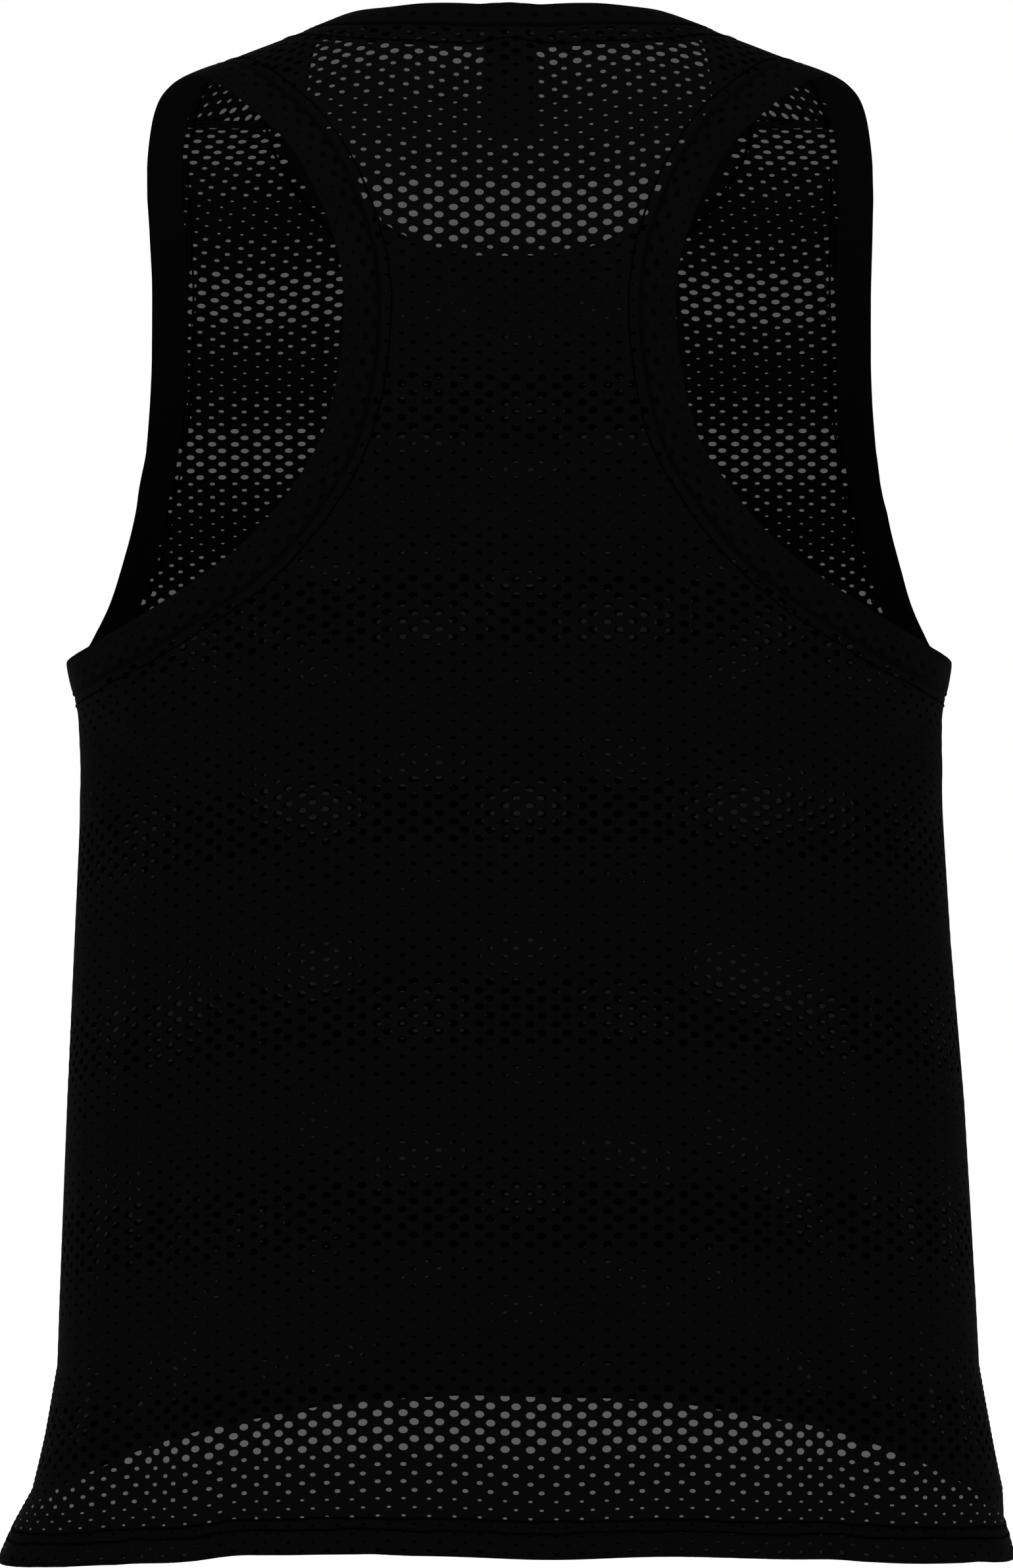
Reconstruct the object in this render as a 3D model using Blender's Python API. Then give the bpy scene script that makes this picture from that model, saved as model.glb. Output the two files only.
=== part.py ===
"""Racerback running singlet in perforated knit, hollow as it is when worn.

The front of the garment faces -Y, +X is the wearer's left, and the origin is on the line of
the shoulders, at the height of the neck end of each shoulder. Two panels, a neck band, two
armhole bands and a neck label are walls of cloth that meet edge to edge.

Every piece lies on one shaped surface, worn_surface(turn, level). Turn runs from -1 at the
right side seam through 0 at the middle to +1 at the left side seam. Level runs from 0 at the
back hem, up the back, over the shoulders at 14 and down the front to 29 at the front hem.
"""

import math

import bmesh
import bpy
from mathutils import Vector

MM = 0.001

# Driving dimensions, in millimetres
PANEL_CLOTH = 1.4
FOLDED_CLOTH = 2.4
LABEL_CLOTH = 1.0
SEAM_GAP = 0.3
ARMHOLE_BAND = 15.0
NECK_BAND = 12.4
ARMHOLE_STRIP = 4.4
LABEL_WIDTH = 21.0
LABEL_LENGTH = 42.0
SIDE_SEAM_Y = -8.0
SHOULDER_SLOPE = 0.374
NAPE_RADIUS = 18.0
NAPE_HALF_WIDTH = 20.0
NAPE_FADE = 60.0
HEM_DIP = 24.0
SLIT_TOP_Z = -581.0
SLIT_LENGTH = 88.0
SLIT_OPENING = 5.0
SHOULDER_LEVEL = 14.0
LABEL_TOP_LEVEL = 10.88

# The middle line of the garment: where it runs, how much of the shoulders' slope and of the
# side dip of the hem its cross section takes, and how square that section is
LEVEL_COLUMNS = ("y", "z", "slope", "dip", "square")
LEVELS = (
    (97, -644, 0.00, 1.00, 2.30),
    (93, -590, 0.00, 1.00, 2.30),
    (91, -500, 0.00, 1.00, 2.30),
    (90, -410, 0.00, 1.00, 2.30),
    (93, -340, 0.00, 1.00, 2.30),
    (97, -285, 0.00, 1.00, 2.35),
    (99, -235, 0.00, 0.75, 2.40),
    (98, -180, 0.00, 0.35, 2.50),
    (94, -125, 0.04, 0.10, 2.50),
    (86, -84, 0.15, 0.00, 2.50),
    (73, -48, 0.38, 0.00, 2.50),
    (58, -17, 0.62, 0.00, 2.50),
    (41, 7.4, 0.84, 0.00, 2.50),
    (21, 21.4, 0.97, 0.00, 2.50),
    (0, 25.4, 1.00, 0.00, 2.50),
    (-21, 21.4, 0.98, 0.00, 2.60),
    (-41, 8, 0.92, 0.00, 2.70),
    (-58, -10, 0.82, 0.00, 2.80),
    (-72, -33, 0.62, 0.00, 2.90),
    (-82, -60, 0.40, 0.00, 3.00),
    (-91, -92, 0.18, 0.00, 3.00),
    (-101, -130, 0.05, 0.10, 3.00),
    (-113, -178, 0.00, 0.35, 2.90),
    (-121, -235, 0.00, 0.75, 2.70),
    (-119, -285, 0.00, 1.00, 2.50),
    (-112, -340, 0.00, 1.00, 2.40),
    (-107, -410, 0.00, 1.00, 2.30),
    (-105, -500, 0.00, 1.05, 2.30),
    (-107, -575, 0.00, 1.28, 2.30),
    (-110, -611, 0.00, 1.40, 2.30),
)

# Half the width of the worn garment: height, to the left, to the right
WIDTHS = (
    (-668, 219.8, 217.0),
    (-650, 213.5, 213.8),
    (-635, 206.0, 211.0),
    (-610, 200.5, 206.5),
    (-581, 195.0, 202.3),
    (-551, 194.0, 200.8),
    (-466, 190.7, 195.8),
    (-398, 187.6, 190.0),
    (-330, 184.4, 185.6),
    (-300, 185.9, 186.3),
    (-278, 190.2, 189.6),
    (-235, 191.0, 191.0),
)

# Soft upright folds: panel, height where they start, height where they are full, x at the
# start, x at the hem, half width, how far they stand out (less than 0 falls inwards)
FOLDS = (
    ("back", -290, -520, 128, 160, 17, -8.0),
    ("back", -480, -640, 102, 114, 14, -6.0),
    ("back", -290, -510, -127, -139, 20, -9.0),
    ("back", -500, -640, -16, -16, 34, 9.0),
    ("front", -260, -540, 92, 118, 24, -8.0),
    ("front", -270, -520, -86, -110, 22, -9.0),
    ("front", -470, -600, 14, 20, 30, 7.0),
)

# Line of stitching round the left armhole, from the side seam up the back, over the
# shoulder and down the front to the side seam again: turn, level
ARMHOLE_BACK = (
    (1.000, 5.22),
    (0.867, 5.22),
    (0.730, 5.24),
    (0.598, 5.30),
    (0.500, 5.42),
    (0.420, 5.58),
    (0.340, 5.82),
    (0.270, 6.17),
    (0.203, 6.68),
    (0.172, 7.25),
    (0.163, 7.80),
    (0.174, 8.42),
    (0.210, 9.25),
    (0.258, 10.12),
    (0.325, 11.10),
    (0.385, 12.20),
    (0.436, 13.40),
    (0.475, 14.50),
)
ARMHOLE_FRONT = (
    (0.505, 15.40),
    (0.522, 16.20),
    (0.532, 17.60),
    (0.535, 19.00),
    (0.538, 20.40),
    (0.550, 21.35),
    (0.576, 22.10),
    (0.610, 22.60),
    (0.655, 23.00),
    (0.720, 23.36),
    (0.800, 23.60),
    (0.895, 23.72),
    (1.000, 23.76),
)

# The seam of the left half of the neck, from the middle back to the middle front: turn, level
NECK_SEAM = (
    (0.000, 11.10),
    (0.019, 11.10),
    (0.056, 11.15),
    (0.124, 11.42),
    (0.195, 11.89),
    (0.251, 12.55),
    (0.297, 13.43),
    (0.326, 14.34),
    (0.346, 15.30),
    (0.355, 16.25),
    (0.348, 17.06),
    (0.324, 17.99),
    (0.281, 18.90),
    (0.225, 19.60),
    (0.150, 20.06),
    (0.075, 20.26),
    (0.024, 20.29),
    (0.000, 20.30),
)

# Seam in front of the shoulders where the back panel meets the front panel: turn, level
SHOULDER_SEAM = ((0.30, 17.17), (0.62, 15.70))

# How finely the walls are divided. Above the underarm each block of rows ends at a share of
# the middle line, of the neck edge and of the armhole edge. The middle line starts its
# blocks UNDERARM_LEAD levels above the underarm, so that the rows fan out into it
COLUMNS_PER_HALF = 17
HEM_TO_UNDERARM_ROWS = 12
BLOCK_COLUMNS = ("rows", "middle", "neck", "armhole")
BACK_BLOCKS = ((7, 0.22, 0.0, 0.32), (11, 1.0, 0.0, 0.78), (10, 1.0, 1.0, 1.0))
FRONT_BLOCKS = ((6, 0.39, 0.0, 0.36), (5, 1.0, 0.0, 0.60), (9, 1.0, 1.0, 1.0))
UNDERARM_LEAD = 1.0
LABEL_ROWS = 6

# How closely edges are followed: stations along an edge, sideways steps to move one, and the
# small change of turn or level that measures the surface's slope
OUTLINE_SAMPLES = 160
SIDEWAYS_STEPS = 5
SLOPE_STEP = 0.004
SEARCH_STEPS = 50
WELD_DISTANCE = 0.01

# How tightly the slits' opening and the gap of the side seams keep to the sides
SLIT_POWER = 8
SIDE_GAP_POWER = 12


def spline(table, place, column):
    """A smooth curve through one column of a table, one row for each whole number."""
    first = min(max(int(math.floor(place)), 0), len(table) - 2)
    share = min(max(place - first, 0.0), 1.0)
    start = table[first][column]
    end = table[first + 1][column]
    before = table[first - 1][column] if first > 0 else 2 * start - end
    after = table[first + 2][column] if first + 2 < len(table) else 2 * end - start
    return 0.5 * (
        2 * start
        + (end - before) * share
        + (2 * before - 5 * start + 4 * end - after) * share**2
        + (3 * start - before - 3 * end + after) * share**3
    )


def straight(table, place, column):
    """Straight lines between the rows of a table whose first column rises."""
    if place <= table[0][0]:
        return table[0][column]
    for low, high in zip(table, table[1:]):
        if place <= high[0]:
            share = (place - low[0]) / (high[0] - low[0])
            return low[column] + share * (high[column] - low[column])
    return table[-1][column]


def eased(share):
    """0 to 1 with a soft start and a soft end."""
    share = min(max(share, 0.0), 1.0)
    return share * share * (3 - 2 * share)


def shoulder_run(aside):
    """The distance from the middle over which the shoulders slope down, rounded at the nape."""
    rounded = math.hypot(aside, NAPE_RADIUS) - NAPE_RADIUS
    return aside + (rounded - aside) * (1 - eased((aside - NAPE_HALF_WIDTH) / NAPE_FADE))


def fold_height(panel, x, z):
    """How far the folds move the cloth of a panel outwards at a place."""
    height = 0.0
    for which, top_z, full_z, top_x, hem_x, half_width, full in FOLDS:
        if which != panel or z >= top_z:
            continue
        along = (top_z - z) / (top_z - LEVELS[0][1])
        middle = top_x + (hem_x - top_x) * along
        grown = eased((top_z - z) / (top_z - full_z))
        height += full * grown * math.exp(-(((x - middle) / half_width) ** 2))
    return height


def worn_surface(turn, level):
    """The point in the middle of the cloth's thickness, in millimetres."""
    centre_y, centre_z, slope, dip, square = (
        spline(LEVELS, level, column) for column in range(len(LEVEL_COLUMNS))
    )
    reach = math.sin(abs(turn) * math.pi / 2)
    z = centre_z - HEM_DIP * dip * reach**3
    half_width = straight(WIDTHS, z, 1 if turn > 0 else 2)
    x = math.copysign(reach * half_width, turn)
    z -= SHOULDER_SLOPE * slope * shoulder_run(abs(x))
    depth = max(1 - reach**square, 0.0) ** (1 / square)
    y = SIDE_SEAM_Y + (centre_y - SIDE_SEAM_Y) * depth
    outward = 1 if level < SHOULDER_LEVEL else -1
    panel = "back" if outward > 0 else "front"
    opened = min(max((SLIT_TOP_Z - z) / SLIT_LENGTH, 0.0), 1.0)
    y += outward * SLIT_OPENING * opened * reach**SLIT_POWER
    y += outward * fold_height(panel, x, z)
    return Vector((x, y, z))


def surface_frame(turn, level):
    """The surface's two directions and its outward normal at a place."""
    low, high = max(turn - SLOPE_STEP, -1.0), min(turn + SLOPE_STEP, 1.0)
    across = (worn_surface(high, level) - worn_surface(low, level)) / (high - low)
    down, up = max(level - SLOPE_STEP, 0.0), min(level + SLOPE_STEP, len(LEVELS) - 1.0)
    along = (worn_surface(turn, up) - worn_surface(turn, down)) / (up - down)
    return across, along, along.cross(across).normalized()


def cloth_run(path):
    """A path of turns and levels as close stations: (distance over the cloth, place)."""
    stations = []
    distance = 0.0
    last = None
    for i in range(OUTLINE_SAMPLES + 1):
        row = i * (len(path) - 1) / OUTLINE_SAMPLES
        turn = min(max(spline(path, row, 0), -1.0), 1.0)
        place = (turn, spline(path, row, 1))
        point = worn_surface(*place)
        if last is not None:
            distance += (point - last).length
        last = point
        stations.append((distance, place))
    return stations


def place_at(stations, share):
    """The turn and level at a share of the length of a run of stations."""
    goal = stations[-1][0] * share
    for (low, a), (high, b) in zip(stations, stations[1:]):
        if goal <= high:
            part = (goal - low) / (high - low) if high > low else 0.0
            return (a[0] + (b[0] - a[0]) * part, a[1] + (b[1] - a[1]) * part)
    return stations[-1][1]


def resampled(path, count):
    """A path as count + 1 places, evenly spaced over the cloth."""
    stations = cloth_run(path)
    return [place_at(stations, i / count) for i in range(count + 1)]


def moved_across(path, distance):
    """A path moved sideways over the cloth, to the right of its own direction."""
    places = list(path)
    for _ in range(SIDEWAYS_STEPS):
        moved = []
        for i, (turn, level) in enumerate(places):
            across, along, normal = surface_frame(turn, level)
            on_seam = i in (0, len(places) - 1)
            if on_seam:
                leaves_middle = (turn < 0.5) == (i == 0)
                heading = across if leaves_middle else -across
            else:
                heading = worn_surface(*places[i + 1]) - worn_surface(*places[i - 1])
            way = heading.cross(normal).normalized() * (distance / SIDEWAYS_STEPS)
            moved.append(stepped(turn, level, across, along, way, on_seam))
        places = moved
    return places


def stepped(turn, level, across, along, way, on_seam):
    """The place reached by moving a short way over the cloth from a place."""
    aa, ab, bb = across.dot(across), across.dot(along), along.dot(along)
    wa, wb = way.dot(across), way.dot(along)
    if on_seam:
        return (turn, level + wb / bb)
    size = aa * bb - ab * ab
    new_turn = turn + (wa * bb - wb * ab) / size
    new_level = level + (wb * aa - wa * ab) / size
    return (min(max(new_turn, -1.0), 1.0), new_level)


def side_level(z, front):
    """The level at which one panel's side edge is at a height."""
    low, high = (SHOULDER_LEVEL, len(LEVELS) - 1.0) if front else (SHOULDER_LEVEL, 0.0)
    for _ in range(SEARCH_STEPS):
        middle = (low + high) / 2
        if worn_surface(1.0, middle).z > z:
            low = middle
        else:
            high = middle
    return (low + high) / 2


def seam_crossing(path):
    """The index and place at which a path over the shoulder meets the shoulder seam."""
    (turn_a, level_a), (turn_b, level_b) = SHOULDER_SEAM
    steepness = (level_b - level_a) / (turn_b - turn_a)
    for i, (start, end) in enumerate(zip(path, path[1:])):
        short = start[1] - (level_a + steepness * (start[0] - turn_a))
        past = end[1] - (level_a + steepness * (end[0] - turn_a))
        if short <= 0 < past:
            share = short / (short - past)
            turn = start[0] + share * (end[0] - start[0])
            return i, (turn, start[1] + share * (end[1] - start[1]))
    raise ValueError("the path never meets the shoulder seam")


def lifted(place, offset):
    """A place and its point, moved along the outward normal, in metres."""
    return (worn_surface(*place) + surface_frame(*place)[2] * offset) * MM


def row_between(inner, outer, count):
    """Places evenly spaced between a panel's inner and outer edge."""
    return [
        (
            inner[0] + (outer[0] - inner[0]) * i / count,
            inner[1] + (outer[1] - inner[1]) * i / count,
        )
        for i in range(count + 1)
    ]


def add_rows(sheet, rows, mirrored, side_gap):
    """Quads of one half of a sheet, on the left or mirrored to the right."""
    sign = -1 if mirrored else 1
    made = []
    for row in rows:
        points = []
        for turn, level in row:
            point = worn_surface(sign * turn, level)
            point.y += side_gap * turn**SIDE_GAP_POWER
            points.append(sheet.verts.new(point * MM))
        made.append(points)
    for low, high in zip(made, made[1:]):
        for a, b, c, d in zip(low, low[1:], high[1:], high):
            corners = (a, b, c, d) if sign > 0 else (d, c, b, a)
            sheet.faces.new(corners)


def panel_sheet(inner, outer, side_gap):
    """A whole panel between its inner edge (middle and neck) and outer edge (side, armhole)."""
    rows = [row_between(a, b, COLUMNS_PER_HALF) for a, b in zip(inner, outer)]
    sheet = bmesh.new()
    add_rows(sheet, rows, False, side_gap)
    add_rows(sheet, rows, True, side_gap)
    bmesh.ops.remove_doubles(sheet, verts=sheet.verts, dist=WELD_DISTANCE * MM)
    return sheet


def ribbon_sheet(edges):
    """A closed ribbon through several edges, each a ring of points in metres."""
    sheet = bmesh.new()
    rings = [[sheet.verts.new(point) for point in edge] for edge in edges]
    for near, far in zip(rings, rings[1:]):
        for i in range(len(near)):
            j = (i + 1) % len(near)
            sheet.faces.new((near[i], near[j], far[j], far[i]))
    return sheet


def cloth_material(name, colour, roughness):
    material = bpy.data.materials.new(name)
    material.use_nodes = True
    shader = material.node_tree.nodes["Principled BSDF"]
    shader.inputs["Base Color"].default_value = colour
    shader.inputs["Roughness"].default_value = roughness
    shader.inputs["Metallic"].default_value = 0.0
    return material


def cloth_object(name, sheet, thickness, material):
    """A sheet given its thickness, half to each side."""
    bmesh.ops.recalc_face_normals(sheet, faces=sheet.faces)
    mesh = bpy.data.meshes.new(name)
    sheet.to_mesh(mesh)
    sheet.free()
    mesh.materials.append(material)
    piece = bpy.data.objects.new(name, mesh)
    bpy.context.scene.collection.objects.link(piece)
    wall = piece.modifiers.new("Wall", "SOLIDIFY")
    wall.thickness = thickness * MM
    wall.offset = 0.0
    wall.use_even_offset = True
    wall.use_quality_normals = True
    mesh.shade_smooth()
    mesh.set_sharp_from_angle(angle=math.radians(50))
    return piece


def split_at_shoulder(path):
    """A path's back part and front part, parted by the gap at the shoulder seam."""
    index, place = seam_crossing(path)
    half_gap = SEAM_GAP / 2 / surface_frame(*place)[1].length
    back = path[: index + 1] + [(place[0], place[1] - half_gap)]
    front = [(place[0], place[1] + half_gap)] + path[index + 1 :]
    return back, front[::-1]


def block_shares(blocks, column):
    """The share of an edge that each row of the blocks has reached."""
    shares = [0.0]
    last = 0.0
    for block in blocks:
        rows, end = block[0], block[column]
        shares += [last + (end - last) * (i + 1) / rows for i in range(rows)]
        last = end
    return shares


def edge_places(path, column):
    """A seam's places on the back panel and on the front panel, each from its lower end."""
    back, front = split_at_shoulder(path)
    halves = []
    for half, blocks in ((back, BACK_BLOCKS), (front, FRONT_BLOCKS)):
        run = cloth_run(half)
        halves.append([place_at(run, share) for share in block_shares(blocks, column)])
    return halves


def armhole_seam():
    front_end = (1.0, side_level(worn_surface(*ARMHOLE_BACK[0]).z, True))
    stitching = ARMHOLE_BACK + ARMHOLE_FRONT[:-1] + (front_end,)
    seam = moved_across(resampled(stitching, OUTLINE_SAMPLES), -ARMHOLE_STRIP)
    return edge_places(seam, BLOCK_COLUMNS.index("armhole"))


def neck_seam():
    return edge_places(resampled(NECK_SEAM, OUTLINE_SAMPLES), BLOCK_COLUMNS.index("neck"))


def panel_edges(arm, neck, hem, blocks):
    """Matching places down a panel's inner edge (middle, then neck) and its outer edge."""
    under_level = arm[0][1]
    start_level = under_level + math.copysign(UNDERARM_LEAD, hem - under_level)
    neck_level = neck[0][1]
    inner, outer = [], []
    for i in range(HEM_TO_UNDERARM_ROWS):
        share = i / HEM_TO_UNDERARM_ROWS
        inner.append((0.0, hem + (start_level - hem) * share))
        outer.append((1.0, hem + (under_level - hem) * share))
    middles = block_shares(blocks, BLOCK_COLUMNS.index("middle"))
    necks = block_shares(blocks, BLOCK_COLUMNS.index("neck"))
    for middle, share, place in zip(middles, necks, neck):
        level = start_level + (neck_level - start_level) * middle
        inner.append(place if share > 0 else (0.0, level))
    return inner, outer + arm


def make_panels(arm, neck, knit):
    inner, outer = panel_edges(arm[0], neck[0], 0.0, BACK_BLOCKS)
    cloth_object("back_panel", panel_sheet(inner, outer, SEAM_GAP / 2), PANEL_CLOTH, knit)
    inner, outer = panel_edges(arm[1], neck[1], len(LEVELS) - 1.0, FRONT_BLOCKS)
    cloth_object("front_panel", panel_sheet(inner, outer, -SEAM_GAP / 2), PANEL_CLOTH, knit)


def without_repeats(seam):
    """A seam's two halves with the places below its own lower end left out."""
    halves = []
    for half in seam:
        halves.append([a for a, b in zip(half, half[1:]) if a != b] + [half[-1]])
    return halves


def band_edges(seam, towards_opening, width):
    """Three lines along a band, from its seam to its fold, as lists of places."""
    back, front = seam
    shoulder = tuple((a + b) / 2 for a, b in zip(back[-1], front[-1]))
    path = back[:-1] + [shoulder] + front[-2::-1]
    reaches = (SEAM_GAP, width / 2, width)
    return [moved_across(path, towards_opening * reach) for reach in reaches]


def make_neck_band(neck, folded):
    edges = []
    for left in band_edges(neck, 1, NECK_BAND):
        right = [(-turn, level) for turn, level in reversed(left[1:-1])]
        edges.append([worn_surface(*place) * MM for place in left + right])
    cloth_object("neck_band", ribbon_sheet(edges), FOLDED_CLOTH, folded)


def make_armhole_bands(arm, folded):
    edges = band_edges(arm, -1, ARMHOLE_BAND)
    for name, sign in (("armhole_band_left", 1), ("armhole_band_right", -1)):
        rings = [
            [worn_surface(sign * turn, level) * MM for turn, level in edge[:-1]]
            for edge in edges
        ]
        cloth_object(name, ribbon_sheet(rings), FOLDED_CLOTH, folded)


def make_neck_label(tape):
    """A blank tab inside the middle back, moved in from the panel and hung from the neck."""
    inside = -(PANEL_CLOTH / 2 + SEAM_GAP + LABEL_CLOTH / 2)
    half_turn = math.asin(LABEL_WIDTH / 2 / WIDTHS[-1][1]) * 2 / math.pi
    level_length = surface_frame(0.0, LABEL_TOP_LEVEL)[1].length
    turns = (-half_turn, 0.0, half_turn)
    sheet = bmesh.new()
    rows = []
    for i in range(LABEL_ROWS + 1):
        level = LABEL_TOP_LEVEL - LABEL_LENGTH / level_length * i / LABEL_ROWS
        rows.append([sheet.verts.new(lifted((turn, level), inside)) for turn in turns])
    for low, high in zip(rows, rows[1:]):
        for a, b, c, d in zip(low, low[1:], high[1:], high):
            sheet.faces.new((a, b, c, d))
    cloth_object("neck_label", sheet, LABEL_CLOTH, tape)


for old in list(bpy.data.objects):
    bpy.data.objects.remove(old, do_unlink=True)

perforated_knit = cloth_material("perforated_knit", (0.0030, 0.0030, 0.0032, 1.0), 0.62)
folded_knit = cloth_material("folded_knit", (0.0032, 0.0032, 0.0034, 1.0), 0.60)
label_tape = cloth_material("label_tape", (0.0045, 0.0045, 0.0048, 1.0), 0.45)

armholes = armhole_seam()
neckline = neck_seam()
make_panels(armholes, neckline, perforated_knit)
make_neck_band(without_repeats(neckline), folded_knit)
make_armhole_bands(armholes, folded_knit)
make_neck_label(label_tape)
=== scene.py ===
"""Looks of the racerback running singlet: perforated knit panels, folded bands and their sewing.

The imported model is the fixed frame. Each section below makes one piece, or one group of like
pieces, in the order in which the garment is sewn together.
"""

import math
from functools import partial

import bmesh
import bpy
import numpy as np
from mathutils import Matrix, Vector


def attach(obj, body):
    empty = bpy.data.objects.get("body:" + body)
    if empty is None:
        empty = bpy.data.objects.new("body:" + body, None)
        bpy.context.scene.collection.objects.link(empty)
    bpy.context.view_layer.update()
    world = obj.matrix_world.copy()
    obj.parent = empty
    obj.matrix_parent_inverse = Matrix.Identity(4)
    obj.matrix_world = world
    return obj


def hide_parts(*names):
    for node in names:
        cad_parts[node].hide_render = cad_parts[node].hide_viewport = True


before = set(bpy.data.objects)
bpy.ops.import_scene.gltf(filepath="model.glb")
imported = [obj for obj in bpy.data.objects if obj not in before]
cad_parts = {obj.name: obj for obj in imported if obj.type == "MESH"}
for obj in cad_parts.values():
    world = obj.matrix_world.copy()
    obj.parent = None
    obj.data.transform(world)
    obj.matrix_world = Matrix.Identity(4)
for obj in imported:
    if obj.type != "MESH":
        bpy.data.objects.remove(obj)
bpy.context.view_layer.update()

# ---------------------------------------------------------------------------------- Studio
# A bare white studio. The floor is a wide pale disc well below the hem, because the garment
# is held up in its worn shape, and the light comes from large soft panels on every side.

studio = bpy.context.scene
studio.view_settings.view_transform = "Standard"
studio.view_settings.look = "None"

CAMERA_PLACE = (0.0014, 1.698, -0.330)
LENS, SENSOR_HEIGHT = 90.64, 36.0


def placed(name, data):
    """A new object in the studio."""
    thing = bpy.data.objects.new(name, data)
    studio.collection.objects.link(thing)
    return thing


camera_data = bpy.data.cameras.new("studio_camera")
camera_data.sensor_fit = "VERTICAL"
camera_data.sensor_height = SENSOR_HEIGHT
camera_data.lens = LENS
camera_data.clip_end = 50.0
camera = placed("studio_camera", camera_data)
camera.location = CAMERA_PLACE
camera.rotation_euler = (math.radians(90), 0.0, math.radians(180))
studio.camera = camera

WHITE = (1.0, 1.0, 1.0, 1.0)
BACKDROP_WHITE = 1.0
ROOM_LIGHT = 0.34

room = bpy.data.worlds.new("white_room")
room.use_nodes = True
studio.world = room
room_nodes, room_links = room.node_tree.nodes, room.node_tree.links
room_glow = room_nodes["Background"]
room_white = room_nodes.new("ShaderNodeBackground")
for glow, strength in ((room_glow, ROOM_LIGHT), (room_white, BACKDROP_WHITE)):
    glow.inputs["Color"].default_value = WHITE
    glow.inputs["Strength"].default_value = strength
room_rays = room_nodes.new("ShaderNodeLightPath")
room_choice = room_nodes.new("ShaderNodeMixShader")
room_links.new(room_rays.outputs["Is Camera Ray"], room_choice.inputs["Fac"])
room_links.new(room_glow.outputs["Background"], room_choice.inputs[1])
room_links.new(room_white.outputs["Background"], room_choice.inputs[2])
room_links.new(room_choice.outputs["Shader"], room_nodes["World Output"].inputs["Surface"])

# Light panels: name, place, size, watts
SOFT_PANELS = (
    ("key_panel", (1.30, 1.90, 0.70), 1.6, 3.4),
    ("fill_panel", (-1.40, 1.70, 0.20), 1.8, 1.4),
    ("front_panel_light", (0.40, -2.20, 0.50), 2.0, 5.0),
    ("top_panel", (0.00, 0.70, 1.90), 1.4, 24.0),
)
SUBJECT = Vector((0.0, 0.0, -0.30))
for panel_name, panel_place, panel_size, panel_power in SOFT_PANELS:
    panel_data = bpy.data.lights.new(panel_name, "AREA")
    panel_data.shape = "SQUARE"
    panel_data.size = panel_size
    panel_data.energy = panel_power
    panel_light = placed(panel_name, panel_data)
    panel_light.location = panel_place
    panel_light.rotation_euler = (SUBJECT - Vector(panel_place)).to_track_quat("-Z", "Y").to_euler()

FLOOR_Z, FLOOR_RADIUS = -0.80, 9.0
FLOOR_GREY, FLOOR_GLOW = (0.50, 0.50, 0.50, 1.0), 0.83


def plain_material(name, colour, roughness, specular):
    """A new material of one colour, and its shader."""
    material = bpy.data.materials.new(name)
    material.use_nodes = True
    shader = material.node_tree.nodes["Principled BSDF"]
    shader.inputs["Base Color"].default_value = colour
    shader.inputs["Roughness"].default_value = roughness
    shader.inputs["Specular IOR Level"].default_value = specular
    return material, shader


floor_mesh = bmesh.new()
bmesh.ops.create_circle(floor_mesh, cap_ends=True, segments=96, radius=FLOOR_RADIUS)
bmesh.ops.translate(floor_mesh, verts=floor_mesh.verts, vec=(0.0, 0.0, FLOOR_Z))
floor_data = bpy.data.meshes.new("pale_floor")
floor_mesh.to_mesh(floor_data)
floor_mesh.free()
floor = placed("pale_floor", floor_data)
floor_paint, floor_shader = plain_material("pale_floor_paint", FLOOR_GREY, roughness=0.9, specular=0.0)
floor_shader.inputs["Emission Color"].default_value = WHITE
floor_shader.inputs["Emission Strength"].default_value = FLOOR_GLOW
floor_data.materials.append(floor_paint)


# ------------------------------------------------------------------------------ Back panel
# One piece of perforated polyester knit, cut with a racerback, that runs over the shoulders
# to seams in front of them. Its hem is turned up inside and its side edges are slit at the
# bottom. Rows of eyelets in three sizes repeat every 24 rows, each closed by a sheer ground:
# a near-black face that dims the see-through, its dark colour painted shade of the inside.

MM = 0.001

# The middle line of the worn garment, from the back hem over the shoulders to the front hem:
# y, z, share of the shoulders' slope, share of the hem's side dip, squareness of the section
LEVELS = (
    (97, -644, 0.00, 1.00, 2.30),
    (93, -590, 0.00, 1.00, 2.30),
    (91, -500, 0.00, 1.00, 2.30),
    (90, -410, 0.00, 1.00, 2.30),
    (93, -340, 0.00, 1.00, 2.30),
    (97, -285, 0.00, 1.00, 2.35),
    (99, -235, 0.00, 0.75, 2.40),
    (98, -180, 0.00, 0.35, 2.50),
    (94, -125, 0.04, 0.10, 2.50),
    (86, -84, 0.15, 0.00, 2.50),
    (73, -48, 0.38, 0.00, 2.50),
    (58, -17, 0.62, 0.00, 2.50),
    (41, 7.4, 0.84, 0.00, 2.50),
    (21, 21.4, 0.97, 0.00, 2.50),
    (0, 25.4, 1.00, 0.00, 2.50),
    (-21, 21.4, 0.98, 0.00, 2.60),
    (-41, 8, 0.92, 0.00, 2.70),
    (-58, -10, 0.82, 0.00, 2.80),
    (-72, -33, 0.62, 0.00, 2.90),
    (-82, -60, 0.40, 0.00, 3.00),
    (-91, -92, 0.18, 0.00, 3.00),
    (-101, -130, 0.05, 0.10, 3.00),
    (-113, -178, 0.00, 0.35, 2.90),
    (-121, -235, 0.00, 0.75, 2.70),
    (-119, -285, 0.00, 1.00, 2.50),
    (-112, -340, 0.00, 1.00, 2.40),
    (-107, -410, 0.00, 1.00, 2.30),
    (-105, -500, 0.00, 1.05, 2.30),
    (-107, -575, 0.00, 1.28, 2.30),
    (-110, -611, 0.00, 1.40, 2.30),
)
BACK_HEM, SHOULDER_LEVEL, FRONT_HEM = 0.0, 14.0, 29.0
SIDE_SEAM_Y = -8.0
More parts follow.
